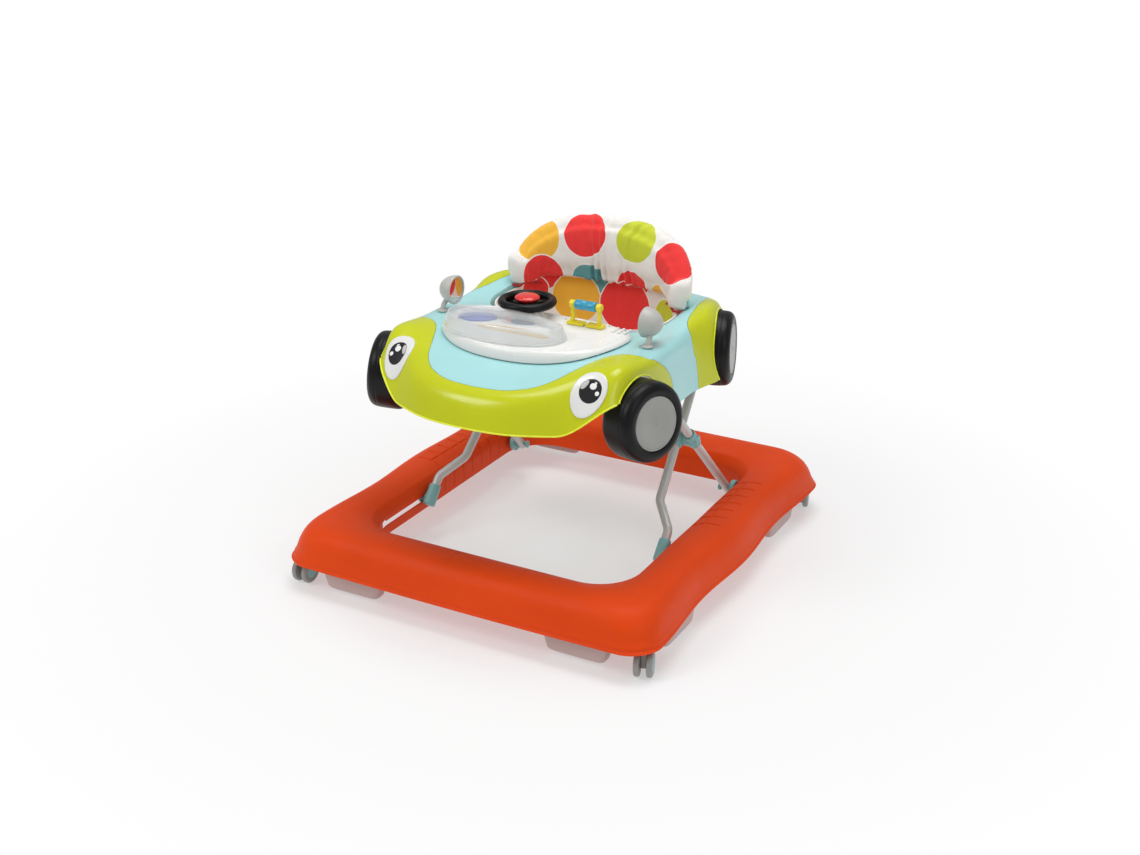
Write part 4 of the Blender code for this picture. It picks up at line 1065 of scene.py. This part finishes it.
def toy_wheels():
    """Hollow black tyres and their grey hub caps on stubs."""
    for end_name, _, name, side in CORNERS:
        centre, axle = wheel_placement(end_name, side)
        label, place = f"{end_name}_{name}", facing(centre, axle)
        width = TOY_WIDTHS[end_name]
        outer = [(0.0400, -0.0004), (0.0409, 0.0004), (0.0455, 0.0010), (0.0492, 0.0005),
                 (0.0532, -0.0017), (0.0562, -0.0050), (0.0576, -0.0090), (0.0581, -0.0128),
                 (0.0579, -0.0140), (0.0583, -0.0150), (TOY_RADIUS, -0.0180),
                 (TOY_RADIUS, 0.0120 - width), (0.0578, 0.0045 - width),
                 (0.0560, 0.0008 - width), (0.0540, -width)]
        inner = [(0.0530, 0.0003 - width), (0.0552, 0.0095 - width), (0.0552, -0.0120),
                 (0.0530, -0.0060), (0.0480, -0.0030), (0.0400, -0.0030)]
        tyre = turned("tyre", [*smooth_line(outer, 3), *inner], place, 128, closed=True)
        piece(f"tyre_{label}_skin", tyre, "toy_black", "toy_tyre_" + label, sharp=50)
        cap = ((0, -0.0002), (0.0030, -0.0002), (0.0033, 0.0002), (0.0042, 0.0002),
               (0.0045, -0.0002), (0.0290, 0.0001), (0.0360, 0.0000), (0.0366, 0.0005),
               (0.0386, 0.0006), (0.0394, -0.0006), (0.0394, -0.0035), (0.0455, -0.0035),
               (0.0450, -0.0060), (0.0041, -0.0060), (0.0041, -width - 0.0095),
               (0, -width - 0.0095))
        hub = turned("cap", cap, place, 128, soft=0.0005, soft_steps=3)
        piece(f"hub_{label}_skin", hub, "hub_grey", "toy_hub_" + label, sharp=45)


# ---- tray fittings

CONSOLE_TOP = 0.3925
PANEL_TOP = 0.3919
STEERING = Vector((-0.038, -0.052, 0.4150))
BRACKET = Vector((0.062, -0.052, CONSOLE_TOP))
LENS = Vector((-0.030, -0.124, CONSOLE_TOP))


def console_outline(scale=1.0):
    """The console seen from above: full at the front, squarer at the back."""
    centre, steps = Vector((0.0, -0.085)), 128
    outline = []
    for i in range(steps):
        angle = 2 * math.pi * i / steps
        c, s = math.cos(angle), math.sin(angle)
        power, reach = (2.3, 0.1235) if s < 0 else (3.0, 0.0505)
        x = (0.141 if c > 0 else 0.150) * math.copysign(abs(c) ** (2 / power), c)
        y = -0.0745 + reach * math.copysign(abs(s) ** (2 / power), s)
        outline.append(centre + (Vector((x, y)) - centre) * scale)
    return outline


def console():
    base = console_outline()
    under = [drop(CAR_TREE, *point) + 0.0020 for point in base]
    rings = [[(*p, z) for p, z in zip(base, under)]]
    for scale, share in ((0.997, 0.22), (0.990, 0.45), (0.980, 0.65), (0.967, 0.82)):
        rings.append([(*p, z + share * (CONSOLE_TOP - z))
                      for p, z in zip(console_outline(scale), under)])
    for scale, height in ((0.954, 0.3917), (0.942, 0.3926), (0.932, 0.3929), (0.923, 0.3927),
                          (0.918, 0.3921), (0.914, PANEL_TOP), (0.900, PANEL_TOP)):
        rings.append([(*p, height) for p in console_outline(scale)])
    pedestal = turned("pedestal", ((0, 0.4045), (0.0180, 0.4045), (0.0196, 0.4034),
                                   (0.0225, 0.3995), (0.0268, 0.3955), (0.0300, 0.3905),
                                   (0, 0.3905)),
                      Matrix.Translation((STEERING.x, STEERING.y, 0)), soft=0.0015)
    body = join(cup("console", rings, 0.0024), pedestal)
    for i in range(6):
        x = 0.020 + 0.0145 * i
        body = join(body, box("rib", (x, -0.0395, 0.3915), (x + 0.0030, -0.0365, 0.3944)))
    for x in (0.1080, 0.1180, 0.1280):
        body = join(body, box("rib", (x, -0.062, 0.3915), (x + 0.0035, -0.041, 0.3948)))
    piece("console_skin", body, "white", "console", bevel=0.0004, sharp=35)


def relief(name, outline, centre, turn, height, material):
    """A low raised picture element on the panel under the dome."""
    c, s = math.cos(turn), math.sin(turn)
    rings = []
    for share, z in ((1.0, 0.0), (1.0, 0.35), (0.97, 0.75), (0.90, 0.95), (0.75, 1.0),
                     (0.4, 1.0)):
        rings.append([(centre[0] + (x * c - y * s) * share, centre[1] + (x * s + y * c) * share,
                       PANEL_TOP + 0.0002 + z * height) for x, y in outline])
    piece(name, solid(name, rings), material, body="tray", sharp=60)


def panel_pictures():
    for name, shape, centre, turn, height, material in (
            ("gauge", (0.0300, 0.0185, 2.2, 48), (-0.0995, -0.0945), 0.42, 0.0030, "gauge_blue"),
            ("window", (0.0200, 0.0095, 2.0, 40), (-0.0270, -0.0830), 0.25, 0.0026,
             "gauge_slate"),
            ("spark_0", (0.0100, 0.0035, 2.0, 32), (-0.0620, -0.0760), 0.4, 0.0024,
             "gauge_pink"),
            ("spark_1", (0.0060, 0.0030, 2.0, 32), (-0.0500, -0.0850), -0.3, 0.0024,
             "gauge_pink")):
        relief("panel_" + name, oval(*shape), centre, turn, height, material)
    swoosh = smooth_loop([(-0.062, 0.007), (-0.030, 0.0125), (0.0, 0.0115), (0.030, 0.007),
                          (0.060, -0.003), (0.055, -0.0125), (0.025, -0.0095),
                          (-0.005, -0.0065), (-0.035, -0.003)], 5)
    relief("panel_swoosh", swoosh, (-0.0230, -0.1250), 0.10, 0.0022, "gauge_amber")
    streak = [(p.x * 0.82, p.y * 0.34) for p in swoosh]
    relief("panel_streak", streak, (-0.0210, -0.1235), 0.09, 0.0030, "glint")


def dome():
    """The clear cover: a milky skirt, a rounded shoulder and a flatter top, low at the back."""
    centre = Vector((LENS.x - 0.001, LENS.y - 0.0075))

    def ring(half_x, half_y, height):
        points = []
        for x, y in oval(half_x, half_y, 2.15, 112):
            back = ramp((y - 0.004) / 0.045)
            tilt = 1.0 - 0.42 * back - 0.10 * ramp(x / 0.09)
            points.append((centre.x + x, centre.y + y, LENS.z + 0.0006 + height * tilt))
        return points

    rings = []
    for share, height in ((1.0, 0.0), (0.996, 0.0045), (0.988, 0.0095), (0.974, 0.0150),
                          (0.955, 0.0195), (0.940, 0.0220), (0.932, 0.0226), (0.926, 0.0222),
                          (0.915, 0.0232), (0.885, 0.0254), (0.82, 0.0276), (0.70, 0.0294),
                          (0.52, 0.0306), (0.32, 0.0312), (0.12, 0.0314), (0.02, 0.0314)):
        rings.append(ring(0.0975 * share, 0.0515 * share, height))
    skirt = thickened(tool("skirt", skin(rings[:9])[0]), 0.0014, -1)
    piece("dome_skirt", skirt, "clear", "windshield_lens", sharp=60)
    piece("dome_window", cup("window", rings[8:], 0.0012), "clear_window", body="tray",
          sharp=60)
    bead = tube("bead", ring(0.0985, 0.0525, 0.0012), 0.0014, cyclic=True, resolution=3)
    piece("dome_foot", bead, "clear", body="tray", sharp=60)


def steering():
    """A thick rim on a slotted dish with three spokes, and the horn button in its hub."""
    centre = Matrix.Translation(STEERING)
    section = [(0.038 + 0.0065 * math.cos(a), 0.0062 * math.sin(a))
               for a in (-2 * math.pi * i / 24 for i in range(24))]
    wheel = turned("rim", section, centre, 96, closed=True)
    hub = turned("hub", ((0, -0.0070), (0.0138, -0.0070), (0.0138, 0.0015), (0.0160, 0.0020),
                         (0.0185, 0.0), (0.0185, -0.0080), (0.0170, -0.0100), (0, -0.0100)),
                 centre, soft=0.0008)
    dish = turned("dish", ((0.0150, -0.0050), (0.0370, -0.0040), (0.0370, -0.0056),
                           (0.0150, -0.0068)), centre, 96, closed=True)

    def slot(turn, distance, half_x, half_y):
        return plate("slot", oval(half_x, half_y, 3, 24), 0.02,
                     turn @ Matrix.Translation((distance, 0, 0)))

    for i in range(12):
        turn = centre @ Matrix.Rotation(math.pi * (i + 0.5) / 6, 4, "Z")
        dish = cut(dish, slot(turn, 0.0270, 0.0058, 0.0020))
    wheel = join(wheel, hub, dish)
    edge = [(0.0160, 0.0058), (0.0220, 0.0042), (0.0300, 0.0044), (0.0365, 0.0062)]
    outline = [(x, -y) for x, y in edge] + edge[::-1]
    for i in range(3):
        turn = centre @ Matrix.Rotation(math.pi / 6 + 2 * math.pi * i / 3, 4, "Z")
        spoke = plate("spoke", outline, 0.0046, turn @ Matrix.Translation((0, 0, -0.0015)))
        wheel = join(wheel, cut(spoke, slot(turn, 0.0258, 0.0045, 0.0016)))
    piece("steering_skin", wheel, "toy_black", "steering_wheel", bevel=0.0003, sharp=40)
    button = turned("button", ((0, 0.0112), (0.0080, 0.0108), (0.0150, 0.0096),
                               (0.0186, 0.0074), (0.0192, 0.0056), (0.0186, 0.0050),
                               (0.0130, 0.0050), (0.0130, -0.0034), (0, -0.0034)), centre,
                    soft=0.0012)
    piece("horn_skin", button, "red", "horn_button", sharp=50)


def roller_toy():
    """A yellow stand on two feet, and the ribbed blue roller that turns on its bar."""
    bar = BRACKET + Vector((0, 0, 0.031))
    out = Vector((1, 0, 0))
    bracket = rod("bar", bar - out * 0.025, bar + out * 0.025, 0.0032)
    for way in (-1, 1):
        post = BRACKET.x + way * 0.0220
        foot = BRACKET.x + way * 0.0160
        knob = turned("knob", ((0, 0.0044), (0.0048, 0.0044), (0.0058, 0.0034),
                               (0.0058, -0.0034), (0.0048, -0.0044), (0, -0.0044)),
                      facing(Vector((post, bar.y, bar.z)), out), soft=0.0008)
        bracket = join(bracket, knob,
                       rod("post", (post, BRACKET.y, BRACKET.z + 0.002), (post, bar.y, bar.z),
                           0.0032),
                       box("foot", (foot - 0.0135, BRACKET.y - 0.0065, BRACKET.z + 0.0003),
                           (foot + 0.0135, BRACKET.y + 0.0065, BRACKET.z + 0.0045)))
    piece("bracket_skin", bracket, "yellow", "toy_bracket", bevel=0.0006)
    half = [(0.0036, 0.0170), (0.0060, 0.0170), (0.0070, 0.0164), (0.0074, 0.0155),
            (0.0074, 0.0022), (0.0066, 0.0010)]
    profile = half + [(r, -h) for r, h in reversed(half)]
    place = facing(bar, out)
    roller = turned("roller", profile, place, 64, closed=True)
    for k in range(6):
        angle = math.pi / 3 * k
        radial = place.to_3x3() @ Vector((math.cos(angle), math.sin(angle), 0))
        for way in (-1, 1):
            centre = bar + out * way * 0.0088 + radial * 0.0074
            roller = cut(roller, rod("groove", centre - out * 0.0050, centre + out * 0.0050,
                                     0.0009, sides=12))
    piece("roller_skin", roller, "blue", "toy_roller", sharp=35)


def mirrors():
    """Egg-shaped pods on bent stems, with the mirror face in a raised rim."""
    for name, side in SIDES:
        foot = Vector((MIRROR_AT.x * side, MIRROR_AT.y, drop(CAR_TREE, *MIRROR_AT) + 0.0012))
        head_at = foot + Vector((-0.0035 * side, 0.018, 0.0302))
        out = Vector((side, 0, 0))
        place = facing(head_at + out * 0.011, out)
        outer = smooth_line([(0.0001, 0.0058), (0.0072, 0.0045), (0.0138, 0.0000),
                             (0.0187, -0.0068), (0.0214, -0.0138), (0.0224, -0.0188),
                             (0.0225, -0.0198)], 6)
        profile = [(0, outer[0].y), *outer[1:], (0.0222, -0.0215), (0.0214, -0.0225),
                   (0.0196, -0.0224), (0.0191, -0.0205), (0, -0.0205)]
        head = turned("head", profile, place, 80)
        path = smooth_line([foot, foot + Vector((0, 0.0006, 0.004)),
                            foot + Vector((0, 0.003, 0.009)),
                            foot + Vector((-0.001 * side, 0.009, 0.014)),
                            head_at - Vector((0, 0.003, 0.010))], 6)
        base = turned("base", ((0, 0.0034), (0.0058, 0.0034), (0.0086, 0.0016), (0.0086, 0.0),
                               (0, 0.0)), Matrix.Translation(foot), soft=0.0010)
        piece(f"mirror_{name}_pod", join(head, tube("stem", path, 0.0040), base), "pod_grey",
              "mirror_" + name, sharp=45)
        glass = turned("glass", ((0, -0.0212), (0.0100, -0.0211), (0.0189, -0.0207),
                                 (0.0189, -0.0203), (0, -0.0203)), place, 64)
        piece(f"mirror_{name}_glass", glass, "mirror", body="mirror_" + name, sharp=60)


def tray_guides():
    """Under the tray, the clips for the front frame's bar and the tracks for the rear one's."""
    for name, side in SIDES:
        low, high = sorted((0.086 * side, 0.104 * side))
        clip = box("clip", (low, FRONT_BAR.y - 0.0100, FRONT_BAR.z - 0.0100),
                   (high, FRONT_BAR.y + 0.0110, DECK - BODY_WALL - 0.0009))
        clip = cut(clip, rod("bore", (low - 0.01, FRONT_BAR.y, FRONT_BAR.z),
                             (high + 0.01, FRONT_BAR.y, FRONT_BAR.z), TUBE + 0.0006))
        piece(f"clip_{name}_skin", clip, "joint_teal", "tray_hinge_clip_" + name, bevel=0.0008)
        low, high = sorted((0.094 * side, 0.101 * side))
        track = box("track", (low, -0.1505, REAR_BAR.z - 0.0125), (high, -0.0440, 0.3755))
        track = cut(track, box("slot", (low - 0.01, -0.1478, REAR_BAR.z - 0.0075),
                               (high + 0.01, -0.0515, REAR_BAR.z + 0.0075)))
        piece(f"track_{name}_skin", track, "joint_teal", "tray_track_" + name, bevel=0.0005)


# ---- seat

ARCH_SPREAD = math.radians(80)
ROLL_SPREAD = math.radians(85)
ROLL_INSETS = (0.0, 0.008, 0.016)


def arch_point(angle, inset=0.0):
    """A plan point on the arch of the seat's frame, or further in."""
    sine, cosine = math.sin(angle), math.cos(angle)
    return Vector(((0.1555 - inset) * math.copysign(abs(sine) ** 0.85, sine),
                   0.088 + (0.0765 - inset) * cosine ** 0.85))


def arch_top(angle):
    return 0.384 + 0.114 * math.cos(min(abs(angle), 1.33)) ** 0.6


def arch_angles(steps=120, spread=ARCH_SPREAD):
    return [spread * (2 * i / steps - 1) for i in range(steps + 1)]


def deck_under(angle, insets):
    return max(drop(CAR_TREE, *arch_point(angle, inset)) for inset in insets)


def seat_frame():
    bottoms = [deck_under(a, (0.0, -0.003)) + 0.0008 for a in arch_angles()]
    rings = []
    for share in (0.0, 0.1, 0.25, 0.5, 0.75, 0.9, 1.0):
        rings.append([(*arch_point(a), z + share * (arch_top(a) - z))
                      for a, z in zip(arch_angles(), bottoms)])
    board = thickened(tool("board", skin(rings, cyclic=False)[0]), 0.003, 1)
    piece("seat_board", board, "aqua", "seat_frame", bevel=0.0008, sharp=40)


def folds(x, z, seed, pitch):
    """Uneven soft folds that run up and down, from -1 to 1."""
    wander = 0.5 * noise.noise(Vector((x * 20, z * 14, seed)))
    phase = x / pitch + wander + 0.8 * noise.noise(Vector((x * 30, seed, 3.1)))
    return math.sin(2 * math.pi * phase) * (0.6 + 0.4 * noise.noise(Vector((x * 40, seed, 9))))


def puff(obj, voxel, pressure, cap):
    """Fill a closed pad with air by a cloth simulation, and keep what moved no more than cap."""
    remesh = obj.modifiers.new("voxels", "REMESH")
    remesh.mode = "VOXEL"
    remesh.voxel_size = voxel
    obj = bake(obj)
    rest = [(v.co.copy(), v.normal.copy()) for v in obj.data.vertices]
    cloth = obj.modifiers.new("cloth", "CLOTH")
    settings = cloth.settings
    settings.quality = 6
    settings.mass = 0.2
    settings.use_pressure = True
    settings.uniform_pressure_force = pressure
    settings.tension_stiffness = settings.compression_stiffness = 12
    settings.shear_stiffness = 5
    settings.bending_stiffness = 0.4
    settings.effector_weights.gravity = 0
    cloth.point_cache.frame_start, cloth.point_cache.frame_end = 1, 20
    for step in range(1, 21):
        bpy.context.scene.frame_set(step)
    graph = bpy.context.evaluated_depsgraph_get()
    moved = [v.co.copy() for v in obj.evaluated_get(graph).data.vertices]
    obj.modifiers.clear()
    bpy.context.scene.frame_set(1)
    for vert, (start, normal), end in zip(obj.data.vertices, rest, moved):
        step = end - start
        step -= normal * min(0.0, step.dot(normal) - 0.0006)
        vert.co = start + (step if step.length <= cap else step * (cap / step.length))
    return obj


def gather_height(angle):
    """Height of the line where the roll is gathered; it falls to the deck at the wings."""
    drape = 0.3985 - 0.0125 * ramp((abs(angle) - 0.80) / 0.50)
    return max(drape, deck_under(angle, ROLL_INSETS) + 0.0012)


def roll_form():
    """The closed roll round the board before it is filled, with rounded ends."""
    rings = []
    for angle in arch_angles(64, ROLL_SPREAD):
        low, top = gather_height(angle), arch_top(angle)
        tall = top - low
        hem = low + 0.42 * tall
        section = [(0.0008, low), (0.0008, hem), (-0.0048, hem), (-0.0052, hem + 0.10 * tall),
                   (-0.0050, low + 0.86 * tall), (-0.0040, top - 0.001), (0.0010, top + 0.0032),
                   (0.0080, top + 0.0036), (0.0150, top + 0.0002), (0.0215, low + 0.88 * tall),
                   (0.0255, low + 0.70 * tall), (0.0278, low + 0.50 * tall),
                   (0.0288, low + 0.32 * tall), (0.0288, low + 0.16 * tall),
                   (0.0270, low + 0.04 * tall), (0.0235, low - 0.0005), (0.0160, low)]
        rings.append([Vector((*arch_point(angle, inset), z)) for inset, z in section])
    ends = []
    for last in (rings[0], rings[-1]):
        middle = sum(last, Vector()) / len(last)
        ends.append([[middle + (p - middle) * share + Vector((0, -out, 0)) for p in last]
                     for share, out in ((0.88, 0.0035), (0.66, 0.0060), (0.35, 0.0072))])
    return solid("seat_back", ends[0][::-1] + rings + ends[1])


def gathered(pad):
    """Soft folds on the roll's front that rise from the gathers along its foot."""
    bm = bmesh.new()
    bm.from_mesh(pad.data)
    bm.normal_update()
    for vert in bm.verts:
        at = vert.co
        angle = math.atan2(at.x, max(0.004, at.y - 0.080) * 1.9)
        outward = Vector((math.sin(angle), math.cos(angle)))
        front = ramp(0.55 - 0.9 * vert.normal.xy.dot(outward))
        on_arch = max(-1.46, min(1.46, angle))
        low = gather_height(on_arch)
        share = (at.z - low) / (arch_top(on_arch) - low + 1e-6)
        foot = math.exp(-((share - 0.02) / 0.42) ** 2)
        crown = math.exp(-((share - 1.0) / 0.22) ** 2)
        along = angle * 0.150
        busy = 0.14 + 1.0 * (math.exp(-((along + 0.024) / 0.024) ** 2)
                             + math.exp(-((along - 0.042) / 0.026) ** 2))
        depth = folds(along, at.z, 1.7, 0.0195) * (0.0054 * foot + 0.0024 * crown + 0.0014) * busy
        puckers = 0.0009 * math.sin(along * 1150 + 3 * noise.noise(at * 60)) * (
            math.exp(-(share / 0.10) ** 2))
        vert.co += vert.normal * (front * (depth + puckers) + 0.0007 * noise.noise(at * 70))
    bm.to_mesh(pad.data)
    bm.free()
    return pad


def seat_back():
    """The padded roll pulled over the board, and the piping under its two wings."""
    pad = puff(roll_form(), 0.0042, 4.0, 0.006)
    fine = pad.modifiers.new("fine", "SUBSURF")
    fine.levels = fine.render_levels = 1
    smooth = pad.modifiers.new("smooth", "SMOOTH")
    smooth.iterations = 4
    pad = piece("seat_back_cover", gathered(bake(pad)), "cloth", "seat_back", sharp=180)

    for name, side in SIDES:
        hem = [(*arch_point(angle, 0.0235), deck_under(angle, ROLL_INSETS) + 0.0016)
               for angle in arch_angles(90, ROLL_SPREAD) if angle * side >= 0.93]
        turn = [(*arch_point((ROLL_SPREAD + 0.030) * side, inset), DECK + 0.0016)
                for inset in (0.019, 0.012, 0.004, 0.0)]
        hem = hem + turn if side > 0 else turn[::-1] + hem
        piece("wing_piping_" + name, tube("piping", hem, 0.0021), "red_binding", body="tray")


def sling_form():
    """The hanging bag's surface, folded unevenly below its rim and raised at the back."""
    middle = Vector((0.0, 0.068))
    loop = smooth_loop(mirrored_loop(OPENING_HALF), 5)
    levels = smooth_line([(0.980, 0.3808), (0.968, 0.355), (0.93, 0.325), (0.86, 0.290),
                          (0.74, 0.258), (0.56, 0.234), (0.30, 0.220)], 4)
    rings = []
    for row, (scale, level) in enumerate(levels):
        share = (level - 0.22) / 0.16
        ring = []
        for i, p in enumerate(loop):
            z = level + 0.0250 * max(0.0, 1 - row / 9) * ramp((p.y - 0.098) / 0.028)
            around = i / len(loop) * 0.83
            inward = 0.0016 * share + 0.0030 * folds(around, z, 5.3, 0.028) * (0.3 + share) * (
                ramp(row / 9))
            at = middle + (p - middle) * scale
            ring.append((*(at - (p - middle).normalized() * (0.0010 + abs(inward))), z))
        rings.append(ring)
    bm, rows = skin(rings)
    bm.faces.new(rows[-1])
    bmesh.ops.recalc_face_normals(bm, faces=bm.faces)
    return bm


def seat_sling():
    """The hanging cloth seat: gathered at the rim, with a bound hole for each leg."""
    bm = sling_form()
    tree = BVHTree.FromBMesh(bm)
    sling = thickened(tool("sling", bm), 0.0026, -1)
    hole, hem = 0.046, 0.0468
    bindings = []
    for _, side in SIDES:
        start = Vector((0.045 * side, 0.075, 0.285))
        end = Vector((0.110 * side, -0.060, 0.205))
        sling = cut(sling, rod("leg_hole", start, end, hole, sides=64))
        place = facing(start, end - start)
        hits = (tree.ray_cast(place @ Vector((hem * math.cos(a), hem * math.sin(a), -0.02)),
                              (end - start).normalized())[0]
                for a in (2 * math.pi * i / 72 for i in range(72)))
        bindings.append([hit for hit in hits if hit is not None])
    fine = sling.modifiers.new("smooth", "SMOOTH")
    fine.iterations = 1
    sling = piece("seat_sling_cloth", sling, "cloth", "seat_sling", sharp=60)
    for (name, _), points in zip(SIDES, bindings):
        piece(f"leg_binding_{name}", tube("binding", points, 0.0022, cyclic=True),
              "red_binding", body="tray")


for build in (base_ring, brake_pads, casters, folding_frames, bodywork, eyes, toy_wheels, console,
              panel_pictures, dome, steering, roller_toy, mirrors, tray_guides, seat_frame,
              seat_back, seat_sling):
    build()
CAR_BM.free()


# ---- floor, light and camera

def floor():
    """A pale floor that brightens to plain white away from the walker."""
    bm = bmesh.new()
    bmesh.ops.create_circle(bm, cap_ends=True, segments=96, radius=3.0)
    made = tool("floor", bm)
    white = Shader("floor_white", 0.9)
    white.bsdf.inputs["Base Color"].default_value = (0.92, 0.92, 0.92, 1)
    away = white.node("ShaderNodeVectorMath", operation="LENGTH")
    white.feed(away.inputs[0], white.place)
    glow = white.node("ShaderNodeEmission")
    blend = white.node("ShaderNodeMixShader")
    white.feed(blend.inputs[0], white.between(away.outputs["Value"], 0.40, 0.95, 0.42, 1.0))
    white.feed(blend.inputs[1], white.bsdf.outputs[0])
    white.feed(blend.inputs[2], glow.outputs[0])
    white.feed(white.tree.nodes["Material Output"].inputs[0], blend.outputs[0])
    made.data.materials.append(white.material)


def area_light(name, at, aim, size, power):
    light = bpy.data.lights.new(name, "AREA")
    light.shape = "RECTANGLE"
    light.size, light.size_y = size
    light.energy = power
    obj = make(name, light)
    obj.location = at
    obj.rotation_euler = (Vector(aim) - Vector(at)).to_track_quat("-Z", "Y").to_euler()


def studio():
    """Plain white surroundings that light the walker less than they show."""
    world = bpy.data.worlds.new("studio")
    world.use_nodes = True
    nodes, links = world.node_tree.nodes, world.node_tree.links
    shown, level = nodes.new("ShaderNodeLightPath"), nodes.new("ShaderNodeMapRange")
    level.inputs[3].default_value, level.inputs[4].default_value = 0.42, 1.0
    links.new(shown.outputs["Is Camera Ray"], level.inputs[0])
    links.new(level.outputs[0], nodes["Background"].inputs["Strength"])
    nodes["Background"].inputs["Color"].default_value = (1, 1, 1, 1)
    bpy.context.scene.world = world
    bpy.context.scene.view_settings.view_transform = "Standard"
    bpy.context.scene.view_settings.look = "None"


def camera():
    """Set where the photograph was taken from: to the car's left, and a little above it."""
    made = bpy.data.cameras.new("camera")
    made.sensor_width = 36.0
    made.lens = 48.97
    view = make("camera", made)
    view.location = (1.08254, -1.96969, 1.12892)
    view.rotation_euler = (math.radians(67.5175), 0, math.radians(28.6467))
    bpy.context.scene.camera = view


floor()
area_light("key", (-1.7, -2.3, 2.7), (0, 0, 0.25), (1.3, 1.3), 30)
area_light("fill", (2.6, -1.2, 1.9), (0, 0, 0.25), (1.0, 1.4), 10)
area_light("top", (0.1, 0.3, 2.9), (0, 0, 0.2), (2.0, 1.6), 40)
studio()
camera()
